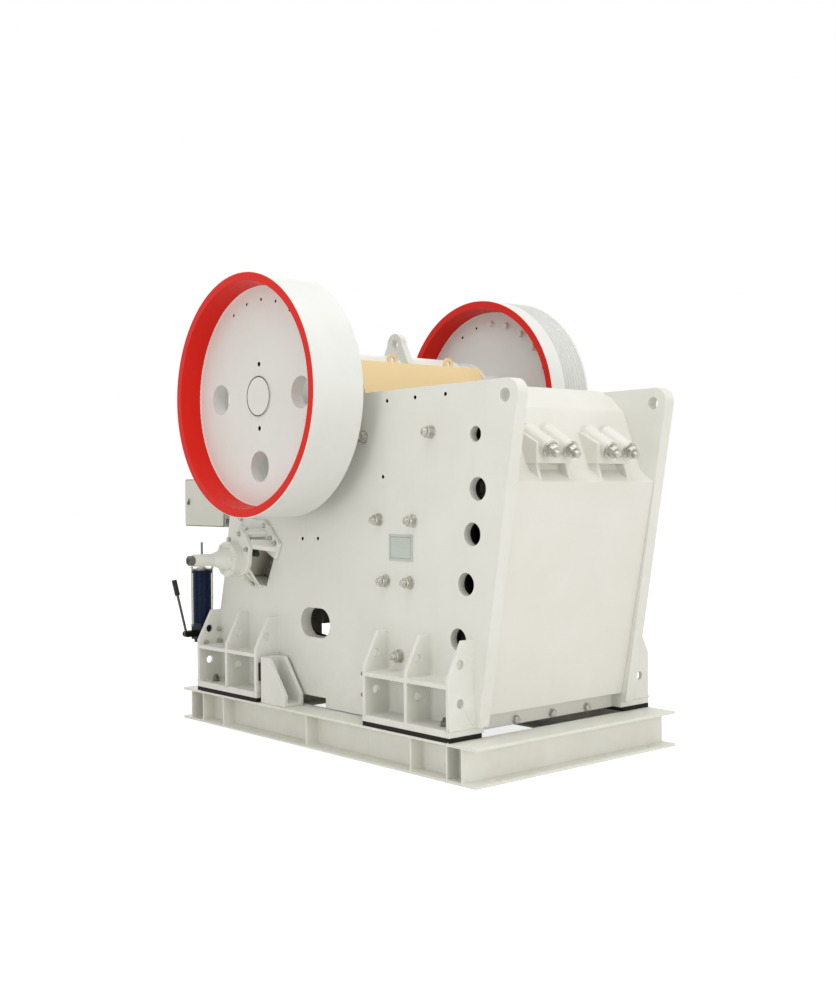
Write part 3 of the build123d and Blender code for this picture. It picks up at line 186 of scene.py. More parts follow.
def spread(tree, value, low, high, out_low=0.0, out_high=1.0):
    """The value's range from low to high stretched to another range, and held at its ends."""
    feeds = {"Value": value, "From Min": low, "From Max": high, "To Min": out_low, "To Max": out_high}
    return add_node(tree, "ShaderNodeMapRange", feeds).outputs[0]


def reckon(tree, operation, first, second=0.0):
    """One sum on one or two numbers."""
    return add_node(tree, "ShaderNodeMath", {0: first, 1: second}, operation=operation).outputs[0]


def plus(tree, first, second):
    """The sum of two numbers."""
    return reckon(tree, "ADD", first, second)


def times(tree, first, *others):
    """Numbers multiplied, which is also 1 only where every one of some masks is 1."""
    for other in others:
        first = reckon(tree, "MULTIPLY", first, other)
    return first


def either_of(tree, first, *others):
    """The largest of some numbers, which is also 1 where any one of some masks is 1."""
    for other in others:
        first = reckon(tree, "MAXIMUM", first, other)
    return first


def above(tree, value, limit):
    """1 where a value is above a limit."""
    return reckon(tree, "GREATER_THAN", value, limit)


def below(tree, value, limit):
    """1 where a value is below a limit."""
    return reckon(tree, "LESS_THAN", value, limit)


def on_machine(tree):
    """Where a point lies on the machine: as one vector, and as its X, Y and Z."""
    where = add_node(tree, "ShaderNodeTexCoord").outputs["Object"]
    return where, add_node(tree, "ShaderNodeSeparateXYZ", {0: where}).outputs


def way_faced(tree):
    """The X, Y and Z of the way a surface faces."""
    normal = add_node(tree, "ShaderNodeNewGeometry").outputs["Normal"]
    return add_node(tree, "ShaderNodeSeparateXYZ", {0: normal}).outputs


def tint(tree, share, first, second, blend="MIX"):
    """Two colours mixed by a share."""
    feeds = {0: share, 6: first, 7: second}
    return add_node(tree, "ShaderNodeMix", feeds, data_type="RGBA", blend_type=blend).outputs[2]


# Sprayed enamel: slight patches in the coat, the peel of the spray, dust on faces that look up, and
# the colour darker and warmer towards the bottom
group, given, gives = new_group(
    "sprayed_enamel",
    (("Enamel", "NodeSocketColor", (0.8, 0.8, 0.8, 1.0)), ("Dust", "NodeSocketFloat", 0.3),
     ("Peel", "NodeSocketFloat", 1.0), ("Gloss", "NodeSocketFloat", 0.42)),
    (("Colour", "NodeSocketColor"), ("Roughness", "NodeSocketFloat"), ("Height", "NodeSocketFloat")),
)
where, place = on_machine(group)
patch = spread(group, noise(group, where, 2.6, 4.0), 0.3, 0.7)
coat = tint(group, patch, tone(249, 249, 247), white)
coated = tint(group, 1.0, given.outputs["Enamel"], coat, "MULTIPLY")
# Darker and warmer towards the bottom, mixed in with the dust
low_down = times(group, spread(group, place[2], 0.05, 0.9, 1.0, 0.0), 0.55)
on_top = times(group, spread(group, way_faced(group)[2], 0.7, 1.0), 0.22)
cloud = spread(group, noise(group, where, 11.0, 5.0, 0.6), 0.38, 0.72)
streak = spread(group, drawn_out(group, where, (22.0, 22.0, 1.4)), 0.52, 0.78)
low_darkening_and_dust = plus(group, times(group, plus(group, low_down, on_top), cloud), times(group, streak, 0.10))
low_darkening_and_dust_share = times(group, low_darkening_and_dust, given.outputs["Dust"])
uneven = spread(group, noise(group, where, 34.0, 3.0), 0.3, 0.7, -0.05, 0.05)
dulled = plus(group, times(group, low_darkening_and_dust_share, 0.5), uneven)
peel = plus(group, noise(group, where, 420.0, 1.0), times(group, noise(group, where, 90.0, 2.0), 1.2))
feed(group, gives, {"Colour": tint(group, low_darkening_and_dust_share, coated, tone(164, 157, 138)),
                    "Roughness": plus(group, given.outputs["Gloss"], dulled),
                    "Height": times(group, peel, given.outputs["Peel"])})
enamel_group = group


def plain_material(name):
    """An empty node material with its shader and output in place."""
    material = bpy.data.materials.new(name)
    material.use_nodes = True
    material.node_tree.nodes.clear()
    shader = add_node(material.node_tree, "ShaderNodeBsdfPrincipled")
    add_node(material.node_tree, "ShaderNodeOutputMaterial", {"Surface": shader.outputs[0]})
    return material, material.node_tree, shader


def raise_bumps(tree, shader, height, strength, distance):
    """Feeds a height into the shader's normal."""
    bump = add_node(tree, "ShaderNodeBump", {"Height": height, "Strength": strength, "Distance": distance})
    tree.links.new(bump.outputs[0], shader.inputs["Normal"])


def enamel_film(tree, colour, dust, peel, gloss):
    """The colour, roughness and height of a coat of sprayed enamel."""
    return add_node(tree, "ShaderNodeGroup", {"Enamel": colour, "Dust": dust, "Peel": peel, "Gloss": gloss},
                    node_tree=enamel_group).outputs


def enamelled(name, colour, dust=0.3, peel=1.0, gloss=0.42, bump=0.25):
    """A sprayed steel finish of one colour."""
    material, tree, shader = plain_material(name)
    film = enamel_film(tree, colour, dust, peel, gloss)
    feed(tree, shader, {"Base Color": film["Colour"], "Roughness": film["Roughness"],
                        "Specular IOR Level": 0.4})
    raise_bumps(tree, shader, film["Height"], bump, 0.0006)
    return material


cream_tone = tone(226, 226, 221)
cream_enamel = enamelled("cream_enamel", cream_tone)
base_enamel = enamelled("base_enamel", tone(228, 228, 221), dust=0.16)


def new_tool(name, inputs):
    """An empty geometry tree, its inputs' sockets, and the handles by which a modifier sets them."""
    tool = bpy.data.node_groups.new(name, "GeometryNodeTree")
    tool.is_modifier = True
    tool.interface.new_socket("Geometry", in_out="INPUT", socket_type="NodeSocketGeometry")
    handles = {}
    for label, kind, value in inputs:
        socket = tool.interface.new_socket(label, in_out="INPUT", socket_type=kind)
        if value is not None:
            socket.default_value = value
        handles[label] = socket.identifier
    tool.interface.new_socket("Geometry", in_out="OUTPUT", socket_type="NodeSocketGeometry")
    return tool, tool.nodes.new("NodeGroupInput").outputs, handles


# The solids come as loose triangles, so this joins them for the modifiers that round their edges
joined, given = new_tool("joined_surface", (("Reach", "NodeSocketFloat", 0.00002),))[:2]
merge = add_node(joined, "GeometryNodeMergeByDistance",
                 {"Geometry": given["Geometry"], "Distance": given["Reach"]})
smooth = add_node(joined, "GeometryNodeSetShadeSmooth", {"Geometry": merge.outputs[0]})
add_node(joined, "NodeGroupOutput", {"Geometry": smooth.outputs[0]})


def round_edges(item, edge):
    """Rounds an object's edges to a radius."""
    rounding = item.modifiers.new("round", "BEVEL")
    rounding.width, rounding.segments, rounding.angle_limit = edge, 2, radians(34)
    rounding.limit_method = "ANGLE"
    return rounding


def dress(names, material, edge, flat_angle=0.8):
    """Gives solids their finish and rounds their edges as a torch-cut, cast or machined edge is."""
    for name in names:
        solid = part[name]
        for slot in solid.material_slots:
            slot.material = material
        solid.modifiers.new("join", "NODES").node_group = joined
        if flat_angle:
            flatten = solid.modifiers.new("flatten", "DECIMATE")
            flatten.decimate_type, flatten.angle_limit = "DISSOLVE", radians(flat_angle)
        rounding = round_edges(solid, edge)
        rounding.use_clamp_overlap, rounding.miter_outer = True, "MITER_ARC"
        rounding.loop_slide = flat_angle > 0
        shade = solid.modifiers.new("shade", "WEIGHTED_NORMAL")
        shade.weight, shade.mode = 60, "FACE_AREA"


base_beams = ["base_beam_front", "base_beam_rear", "base_beam_left", "base_beam_right"]
dress(base_beams, base_enamel, 0.003)

# Weld beads: a rippled round bead laid along each joint
beads, given, bead_inputs = new_tool("weld_bead", (
    ("Pitch", "NodeSocketFloat", 0.008), ("Bead radius", "NodeSocketFloat", 0.006),
    ("Ripple", "NodeSocketFloat", 0.16), ("Seed", "NodeSocketFloat", 3.0),
    ("Finish", "NodeSocketMaterial", None)))
even = add_node(beads, "GeometryNodeResampleCurve", {"Curve": given["Geometry"], "Length": given["Pitch"]},
                mode="LENGTH")
index = beads.nodes.new("GeometryNodeInputIndex")
wave = reckon(beads, "SINE", times(beads, index.outputs[0], 2.1))
stray = add_node(beads, "ShaderNodeTexNoise",
                 {"W": plus(beads, index.outputs[0], given["Seed"]), "Scale": 0.37, "Detail": 1.0},
                 noise_dimensions="1D")
swell = plus(beads, times(beads, wave, given["Ripple"]), plus(beads, stray.outputs[0], 0.5))
profile = add_node(beads, "GeometryNodeCurvePrimitiveCircle",
                   {"Resolution": 6, "Radius": given["Bead radius"]}, mode="RADIUS")
swept = add_node(beads, "GeometryNodeCurveToMesh", {
    "Curve": even.outputs[0], "Profile Curve": profile.outputs[0], "Scale": swell, "Fill Caps": True})
sleek = add_node(beads, "GeometryNodeSetShadeSmooth", {"Geometry": swept.outputs[0]})
real = add_node(beads, "GeometryNodeRealizeInstances", {"Geometry": sleek.outputs[0]})
painted = add_node(beads, "GeometryNodeSetMaterial",
                   {"Geometry": real.outputs[0], "Material": given["Finish"]})
add_node(beads, "NodeGroupOutput", {"Geometry": painted.outputs[0]})


def made_plain(holder, name, body):
    """Turns what a holder's tree makes into a plain mesh that rides on a body, and removes the holder."""
    bpy.context.view_layer.update()
    graph = bpy.context.evaluated_depsgraph_get()
    mesh = bpy.data.meshes.new_from_object(holder.evaluated_get(graph), depsgraph=graph)
    bpy.data.objects.remove(holder)
    mesh.name = name
    piece = put_in_scene(name, mesh)
    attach(piece, body)
    return piece


def weld(name, runs, body, finish, bead):
    """Lays weld beads along runs of points, all as one piece."""
    line = bpy.data.curves.new(name + "_line", "CURVE")
    line.dimensions = "3D"
    for run in runs:
        spline = line.splines.new("POLY")
        spline.points.add(len(run) - 1)
        for point, at in zip(spline.points, run):
            point.co = (*at, 1.0)
    holder = put_in_scene(name + "_line", line)
    tool = holder.modifiers.new("bead", "NODES")
    tool.node_group = beads
    tool[bead_inputs["Bead radius"]] = bead
    tool[bead_inputs["Finish"]] = finish
    return made_plain(holder, name, body)


sides_of_machine = (("left", -1), ("right", 1))
beam_top, beam_flange, beam_web_half = 0.2, 0.015, 0.005
joint_x, beam_in, beam_out = 1.1775, 0.5925, 0.7925
stiffener_x, stiffener_half = (-1.15, -0.916, -0.039, 0.88, 1.16), 0.006
for side, hand in sides_of_machine:
    runs = []
    middle = hand * (beam_in + beam_out) / 2
    for end in (-1, 1):
        x = end * joint_x
        runs.append([(x, hand * beam_in, beam_top), (x, hand * beam_out, beam_top)])
        runs.append([(x, hand * beam_out, beam_top), (x, hand * beam_out, beam_top - beam_flange)])
        for face in (-1, 1):
            y = middle + face * beam_web_half
            runs.append([(x, y, beam_flange), (x, y, beam_top - beam_flange)])
    for x in stiffener_x:
        for face in (-1, 1):
            web_y, tip_y = middle + face * beam_web_half, middle + face * (beam_out - beam_in) / 2
            for side_x in (x - stiffener_half, x + stiffener_half):
                runs.append([(side_x, tip_y, beam_top - beam_flange), (side_x, web_y, beam_top - beam_flange),
                             (side_x, web_y, beam_flange), (side_x, tip_y, beam_flange)])
    weld("base_welds_" + side, runs, "root", base_enamel, 0.005)

# Rubber pads
# Four moulded slabs of black rubber under the feet, which keep the shock out of the base frame.
rubber, tree, shader = plain_material("moulded_rubber")
where = on_machine(tree)[0]
bloom = spread(tree, noise(tree, where, 16.0, 5.0), 0.4, 0.7, 0.0, 0.6)
layers = add_node(tree, "ShaderNodeTexWave",
                  {"Vector": where, "Scale": 52.0, "Distortion": 0.4, "Detail": 1.0},
                  wave_type="BANDS", bands_direction="Z")
feed(tree, shader, {"Base Color": tint(tree, bloom, tone(27, 26, 23), tone(48, 46, 41)),
                    "Roughness": spread(tree, bloom, 0.0, 1.0, 0.6, 0.85), "Specular IOR Level": 0.15})
moulded = plus(tree, layers.outputs["Fac"], times(tree, noise(tree, where, 260.0), 0.4))
raise_bumps(tree, shader, moulded, 0.5, 0.0012)
dress(["rubber_pads", "stopper_buffers"], rubber, 0.003)

# Feet and stoppers
# Welded plate feet: a sole, a shelf and three drilled gussets each, fixed to the side plates.
# The stoppers between them are bent from plate and carry the rubber buffers.
feet = ["front_foot_left", "front_foot_right", "rear_foot_left", "rear_foot_right"]
dress(feet + ["stopper_left", "stopper_right"], cream_enamel, 0.003, flat_angle=0)


def skinned(mesh, rings):
    """Adds a closed skin over rings of corners: the sides from ring to ring, and both ends."""
    for low, high in zip(rings, rings[1:]):
        for step in range(len(low)):
            after = (step + 1) % len(low)
            mesh.faces.new((low[step], low[after], high[after], high[step]))
    mesh.faces.new(rings[0][::-1])
    mesh.faces.new(rings[-1])


def turned(mesh, foot, aim, profile, sides=24):
    """Adds a turned solid: the profile is (distance along aim, radius) pairs from one end to the other."""
    foot = Vector(foot)
    spin = Vector(aim).to_track_quat("Z", "Y")
    turns = [2 * pi * step / sides for step in range(sides)]
    skinned(mesh, [[mesh.verts.new(foot + spin @ Vector((radius * cos(turn), radius * sin(turn), along)))
                    for turn in turns] for along, radius in profile])


def object_from(mesh, name, corner):
    """Turns bmesh work into an object, smooth but for corners of more than so many degrees."""
    bmesh.ops.recalc_face_normals(mesh, faces=mesh.faces)
    made = bpy.data.meshes.new(name)
    mesh.to_mesh(made)
    mesh.free()
    made.shade_smooth()
    made.set_sharp_from_angle(angle=radians(corner))
    return put_in_scene(name, made)


def piece_from(mesh, name, body, material, edge=0.0, corner=32):
    """Turns bmesh work into a finished piece that rides on a body."""
    piece = object_from(mesh, name, corner)
    piece.data.materials.append(material)
    if edge:
        round_edges(piece, edge)
    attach(piece, body)
    return piece


def mottled_steel(name, dark, light, smooth, metallic, grain):
    """Steel with a mottled bloom and fine turning marks."""
    material, tree, shader = plain_material(name)
    where = on_machine(tree)[0]
    mottle = spread(tree, noise(tree, where, 60.0, 4.0, 0.6), 0.3, 0.75)
    feed(tree, shader, {"Base Color": tint(tree, mottle, dark, light),
                        "Roughness": spread(tree, mottle, 0.0, 1.0, *smooth), "Metallic": metallic})
    raise_bumps(tree, shader, noise(tree, where, grain, 2.0), 0.2, 0.0004)
    return material


# Most bolts are zinc plated, and those of the feet were left black from the forge
bolt_steel = mottled_steel("plated_bolts", tone(158, 156, 147), tone(214, 212, 204), (0.32, 0.5), 0.75, 500.0)
black_steel = mottled_steel("blackened_bolts", tone(100, 98, 88), tone(142, 139, 128), (0.4, 0.6), 0.5, 400.0)


def hexagon_pattern(name, stud):
    """A washer, a hexagon and perhaps a stud's end, one unit across the flats, that stand on +Z."""
    mesh = bmesh.new()
    sides, washer, height = 24, 0.1, 0.62
    turned(mesh, (0, 0, -0.02), (0, 0, 1), ((0, 0.66), (washer, 0.66), (washer + 0.02, 0.62)), sides)
    reach = [0.5 / cos(radians((360 / sides * step + 30) % 60 - 30)) for step in range(sides)]
    levels = ([0.08] * sides, [washer + height - 0.03 - (r - 0.5) * 0.75 for r in reach],
              [washer + height] * sides)
    radii = (reach, reach, [0.45] * sides)
    rings = [[mesh.verts.new((r * cos(2 * pi * s / sides), r * sin(2 * pi * s / sides), z))
              for s, (r, z) in enumerate(zip(row, level))] for row, level in zip(radii, levels)]
    skinned(mesh, rings)
    if stud:
        turned(mesh, (0, 0, washer + height - 0.02), (0, 0, 1),
               ((0, 0.31), (0.08, 0.33), (0.12, 0.29), (0.16, 0.33), (0.2, 0.29), (0.24, 0.33), (0.28, 0.29),
                (0.32, 0.33), (0.36, 0.29), (0.4, 0.33), (0.47, 0.25)), 16)
    return object_from(mesh, name, 28)


bolt_head, nut_on_stud = hexagon_pattern("bolt_head_pattern", False), hexagon_pattern("nut_pattern", True)

# Fasteners: one pattern stood on each point, along that point's direction and at its size
fasteners, given, fastener_inputs = new_tool("fasteners", (
    ("Fastener", "NodeSocketObject", None), ("Across flats", "NodeSocketFloat", None),
    ("Seed", "NodeSocketInt", None), ("Finish", "NodeSocketMaterial", None)))
aim = add_node(fasteners, "GeometryNodeInputNamedAttribute", {"Name": "aim"}, data_type="FLOAT_VECTOR")
turn = add_node(fasteners, "FunctionNodeRandomValue", {"Seed": given["Seed"]}, data_type="FLOAT")
turn.inputs[2].default_value, turn.inputs[3].default_value = 0.0, 2 * pi
stand = add_node(fasteners, "FunctionNodeAlignRotationToVector", {"Vector": aim.outputs["Attribute"]},
                 axis="Z")
spun = add_node(fasteners, "FunctionNodeAxisAngleToRotation",
                {"Axis": (0.0, 0.0, 1.0), "Angle": turn.outputs[1]})
both = add_node(fasteners, "FunctionNodeRotateRotation",
                {"Rotation": stand.outputs[0], "Rotate By": spun.outputs[0]}, rotation_space="LOCAL")
shape = add_node(fasteners, "GeometryNodeObjectInfo", {"Object": given["Fastener"]},
                 transform_space="ORIGINAL")
stood = add_node(fasteners, "GeometryNodeInstanceOnPoints",
                 {"Points": given["Geometry"], "Instance": shape.outputs["Geometry"],
                  "Rotation": both.outputs[0], "Scale": given["Across flats"]})
real = add_node(fasteners, "GeometryNodeRealizeInstances", {"Geometry": stood.outputs[0]})
plated = add_node(fasteners, "GeometryNodeSetMaterial",
                  {"Geometry": real.outputs[0], "Material": given["Finish"]})
add_node(fasteners, "NodeGroupOutput", {"Geometry": plated.outputs[0]})


def fasten(name, rows, across, body, pattern=bolt_head, finish=bolt_steel):
    """Stands a fastener on each (point, direction) row, all as one piece."""
    points = bpy.data.meshes.new(name + "_points")
    points.from_pydata([row[0] for row in rows], [], [])
    aims = points.attributes.new("aim", "FLOAT_VECTOR", "POINT")
    aims.data.foreach_set("vector", [c for row in rows for c in row[1]])
    holder = put_in_scene(name + "_points", points)
    tool = holder.modifiers.new("stand", "NODES")
    tool.node_group = fasteners
    tool[fastener_inputs["Fastener"]] = pattern
    tool[fastener_inputs["Across flats"]] = across
    tool[fastener_inputs["Seed"]] = len(rows)
    tool[fastener_inputs["Finish"]] = finish
    return made_plain(holder, name, body)


wall_face, sole_top, foot_tip = 0.619, 0.262, 0.792
shelf_low, shelf_top, gusset_half = 0.47, 0.494, 0.012
gusset_top = 0.712
front_gussets, rear_gussets = (0.488, 0.835, 1.162), (-1.209, -0.885, -0.562)
sole_bolts = ((1.06, 0.705), (-1.1, 0.72))
tie_nut_out, tie_nut_z = 0.755, (0.36, 0.475)
for side, hand in sides_of_machine:
    runs, wall, tip = [], hand * wall_face, hand * foot_tip
    for gussets in (front_gussets, rear_gussets):
        for x in (step for at in gussets for step in (at, at + 2 * gusset_half)):
            runs.append([(x, wall, sole_top), (x, wall, shelf_low)])
            runs.append([(x, wall, shelf_top), (x, wall, gusset_top)])
            runs.append([(x, wall, sole_top), (x, tip, sole_top)])
        low_x, high_x = gussets[0], gussets[-1] + 2 * gusset_half
        for z in (sole_top, shelf_low, shelf_top):
            runs.append([(low_x, wall, z), (high_x, wall, z)])
    weld("foot_welds_" + side, runs, "root", cream_enamel, 0.0055)
    bolts = [((x, hand * out, sole_top), (0, 0, 1)) for x, out in sole_bolts]
    bolts += [((front_gussets[0], hand * tie_nut_out, z), (-1, 0, 0)) for z in tie_nut_z]
    fasten("foot_bolts_" + side, bolts, 0.038, "root", nut_on_stud, finish=black_steel)

# Side plates
# Thick rolled plate, flame cut and bored, in the same cream enamel. Seven studs on each side hold
# the cheek plates inside; their nuts and washers stand on the outer faces.


def paint_over(tree, share, colour):
    """Covers a finish with another colour, where and as far as the share says."""
    shader = next(step for step in tree.nodes if step.type == "BSDF_PRINCIPLED")
    under = shader.inputs["Base Color"].links[0].from_socket
    tree.links.new(tint(tree, share, under, colour), shader.inputs["Base Color"])


def primer_and_shade_inside(name, inside):
    """The cream enamel outside, and dull dark primer on the faces that a mask says are inside, which also
    stands in as painted shade there.
    """
    material = enamelled(name, cream_tone)
    tree = material.node_tree
    where, place = on_machine(tree)
    dark_blotch = spread(tree, noise(tree, where, 9.0, 4.0), 0.3, 0.7)
    primer_and_shade = tint(tree, dark_blotch, tone(112, 108, 94), tone(140, 136, 120))
    paint_over(tree, inside(tree, place, way_faced(tree)), primer_and_shade)
    return material


# The side plates' faces inside the chamber are painted dark: primer, and painted shade of the chamber
chamber_end = 0.74


def facing_chamber(tree, place, faces):
    """1 on the side plates' faces that look into the crushing chamber, which ends at the front wall."""
    inward = below(tree, times(tree, place[1], faces[1]), -0.2)
    return times(tree, inward, below(tree, place[0], chamber_end))


def from_axis(tree, place, x, z):
    """The distance from an axis along Y."""
    off_x = reckon(tree, "SUBTRACT", place[0], x)
    off_z = reckon(tree, "SUBTRACT", place[2], z)
    squares = plus(tree, times(tree, off_x, off_x), times(tree, off_z, off_z))
    return reckon(tree, "SQRT", squares)


# The bores and tapped holes are painted dark below a depth, as painted shade inside them
side_finish = primer_and_shade_inside("side_plate_finish", facing_chamber)
tree = side_finish.node_tree
place = on_machine(tree)[1]
out = reckon(tree, "ABSOLUTE", place[1])
wall_bores = ((1.213, 1.766, 0.042), (1.226, 1.485, 0.062), (1.184, 1.252, 0.062),
              (1.134, 0.993, 0.061), (1.073, 0.701, 0.061))
tapped_holes = ((0.511, 1.973), (0.747, 1.979), (0.988, 1.983), (0.471, 1.555), (-0.288, 1.193),
                (-0.135, 1.198))
tapped_reach, bore_shade_depth, hole_shade_depth = 0.013, 0.574, 0.6175
painted_bore_shade = 0.0
tapped_bores = [(x, z, tapped_reach) for x, z in tapped_holes]
for limit, holes in ((bore_shade_depth, wall_bores), (hole_shade_depth, tapped_bores)):
    inside = 0.0
    for x, z, reach in holes:
        inside = either_of(tree, below(tree, from_axis(tree, place, x, z), reach), inside)
    painted_bore_shade = either_of(tree, times(tree, inside, below(tree, out, limit)), painted_bore_shade)
hole_shade_tone = tone(30, 28, 24)
paint_over(tree, painted_bore_shade, hole_shade_tone)
dress(["side_plate_left", "side_plate_right"], side_finish, 0.005)
cheek_studs = ((0.306, 1.781), (0.873, 1.788), (0.433, 1.315), (0.722, 1.314), (0.49, 0.978), (0.693, 0.978),
               (0.605, 0.574))
for side, hand in sides_of_machine:
    rows = [((x, hand * wall_face, z), (0, hand, 0)) for x, z in cheek_studs]
    fasten("cheek_nuts_" + side, rows, 0.056, "root", nut_on_stud)

# Front wall
# A welded and machined box between the side plates, with a rolled crown, studs that clamp the jaw
# die through tubular bosses on two saddles, and a bar at the foot that carries the die.
wall_enamel = enamelled("wall_enamel", tone(225, 224, 218), dust=0.1)
dress(["front_wall", "die_support_bar"], wall_enamel, 0.004)
dress(["jaw_clamp_studs"], bolt_steel, 0.0012)
bar_face, bar_bolt_z = 1.119, 0.25
rows = [((bar_face, y, bar_bolt_z), (1, 0, 0)) for y in (-0.25, 0.035, 0.32)]
fasten("support_bar_bolts", rows, 0.036, "root")

# Rear wall, toggle seat, wedges and adjusters
# The rear wall is welded plate, and the adjuster brackets are castings bolted to the side plates.
# Grease cylinders bolted to their end plates push the two steel wedges that set the jaw's gap.
wedge_steel, tree, shader = plain_material("ground_steel")
where, place = on_machine(tree)
brushed = spread(tree, drawn_out(tree, where, (60.0, 900.0, 60.0)), 0.3, 0.7)
film = spread(tree, noise(tree, where, 14.0, 4.0), 0.45, 0.75, 0.0, 0.5)
ground = tint(tree, film, tint(tree, brushed, tone(128, 126, 118), tone(166, 164, 154)), tone(112, 104, 88))
# The cream spray has caught the ends of the wedges
sprayed_from, sprayed_full = 0.57, 0.665
overspray = spread(tree, reckon(tree, "ABSOLUTE", place[1]), sprayed_from, sprayed_full)
feed(tree, shader, {"Base Color": tint(tree, overspray, ground, tone(214, 210, 196)),
                    "Roughness": spread(tree, brushed, 0.0, 1.0, 0.28, 0.45), "Metallic": 0.35})
raise_bumps(tree, shader, brushed, 0.15, 0.0004)


def facing_ahead(tree, place, faces):
    """1 on faces that look towards the crushing chamber."""
    return above(tree, faces[0], 0.15)


# The rear wall's faces towards the chamber are painted dark: primer, and painted shade of the chamber
dress(["rear_wall", "tension_housing"], primer_and_shade_inside("rear_wall_finish", facing_ahead), 0.003)
dress(["adjusting_wedges", "toggle_seat"], wedge_steel, 0.002)
adjuster_at = Vector((-0.8, 0, 1.06))
adjuster_run, adjuster_rise = Vector((0.907, 0, -0.421)), Vector((0.421, 0, 0.907))


def beside_wedge(along, across, out):
    """A point in the plane of the wedges: along and across it, and out from the machine's middle."""
    return adjuster_at + along * adjuster_run + across * adjuster_rise + Vector((0, out, 0))


def outline_at(outline, out):
    """An outline in the plane of the wedges, as points at a distance out from the machine's middle."""
    return [beside_wedge(along, across, out) for along, across in outline]


# The cylinder's end nut is left dark, and its middle is painted near black as the shade of a deep socket
cylinder_finish = enamelled("cylinder_finish", cream_tone)
tree = cylinder_finish.node_tree
place = on_machine(tree)[1]
out = reckon(tree, "ABSOLUTE", place[1])
end_nut_from, socket_from, socket_r = 1.0625, 1.09, 0.017
paint_over(tree, above(tree, out, end_nut_from), tone(96, 94, 86))
off_axis = from_axis(tree, place, adjuster_at.x, adjuster_at.z)
socket_shade = times(tree, above(tree, out, socket_from), below(tree, off_axis, socket_r))
paint_over(tree, socket_shade, tone(18, 18, 16))
dress(["adjuster_cylinder_left", "adjuster_cylinder_right"], cylinder_finish, 0.005)

fitting_enamel = enamelled("fitting_enamel", tone(24, 66, 48), dust=0.1, gloss=0.3)


def lofted(mesh, start, end):
    """Adds a closed solid between two outlines with as many corners."""
    skinned(mesh, [[mesh.verts.new(Vector(at)) for at in ring] for ring in (start, end)])


def prism(mesh, corners, push):
    """Adds a closed solid: a flat outline and the same outline pushed along a vector."""
    lofted(mesh, corners, [Vector(at) + Vector(push) for at in corners])


flange_face, plate_back, end_plate_face, cylinder_face = 0.643, 0.74, 0.77, 0.83
flange_outline = ((0.236, 0.107), (0.236, 0.212), (0.15, 0.24), (0.09, 0.264), (0.02, 0.274), (-0.06, 0.239),
                  (-0.218, 0.2), (-0.218, -0.16), (0.06, -0.157), (0.15, -0.136), (0.172, -0.107),
                  (-0.066, -0.107), (-0.066, 0.107))
end_plate_outline = ((0.005, 0.196), (0.045, 0.19), (0.117, 0.135), (0.15, 0.04), (0.142, -0.03),
                     (0.03, -0.122), (-0.08, -0.118), (-0.132, -0.05), (-0.13, 0.06), (-0.108, 0.102))
# Each arm runs from four points at the end plate to four at the flange
arms = (
    (((-0.01, 0.16), (0.035, 0.16), (0.035, 0.19), (-0.01, 0.194)),
     ((0.03, 0.185), (0.085, 0.185), (0.085, 0.23), (0.03, 0.234))),
    (((0.072, 0.128), (0.12, 0.124), (0.112, 0.148), (0.07, 0.172)),
     ((0.135, 0.148), (0.222, 0.148), (0.222, 0.184), (0.135, 0.194))),
    (((-0.09, -0.135), (0.09, -0.098), (0.1, -0.05), (-0.09, -0.09)),
     ((-0.03, -0.157), (0.085, -0.15), (0.085, -0.108), (-0.03, -0.108))),
    (((-0.125, 0.0), (-0.08, 0.0), (-0.07, 0.09), (-0.105, 0.095)),
     ((-0.205, 0.04), (-0.13, 0.04), (-0.12, 0.16), (-0.195, 0.155))),
    (((-0.12, -0.1), (-0.06, -0.11), (-0.06, -0.1), (-0.12, -0.05)),
     ((-0.168, -0.15), (-0.09, -0.15), (-0.09, -0.11), (-0.168, -0.06))),
    (((0.132, -0.022), (0.142, -0.022), (0.142, 0.004), (0.132, 0.004)),
     ((0.142, -0.13), (0.154, -0.13), (0.154, -0.108), (0.142, -0.108))),
    (((0.104, -0.052), (0.114, -0.052), (0.114, -0.026), (0.104, -0.026)),
     ((0.118, -0.134), (0.13, -0.134), (0.13, -0.112), (0.118, -0.112))),
)
flange_bolts = ((0.055, 0.252), (0.15, 0.213), (0.206, 0.203), (0.1, -0.133), (-0.19, 0.18), (-0.19, -0.13))
end_plate_bolts, cylinder_bolt_r = ((-0.012, 0.165), (0.1, 0.115), (-0.098, 0.085)), 0.09
turns = [radians(60 * step + 30) for step in range(6)]
cylinder_bolts = [(cylinder_bolt_r * cos(turn), cylinder_bolt_r * sin(turn)) for turn in turns]
seat_height, sunk = 0.008, 0.002
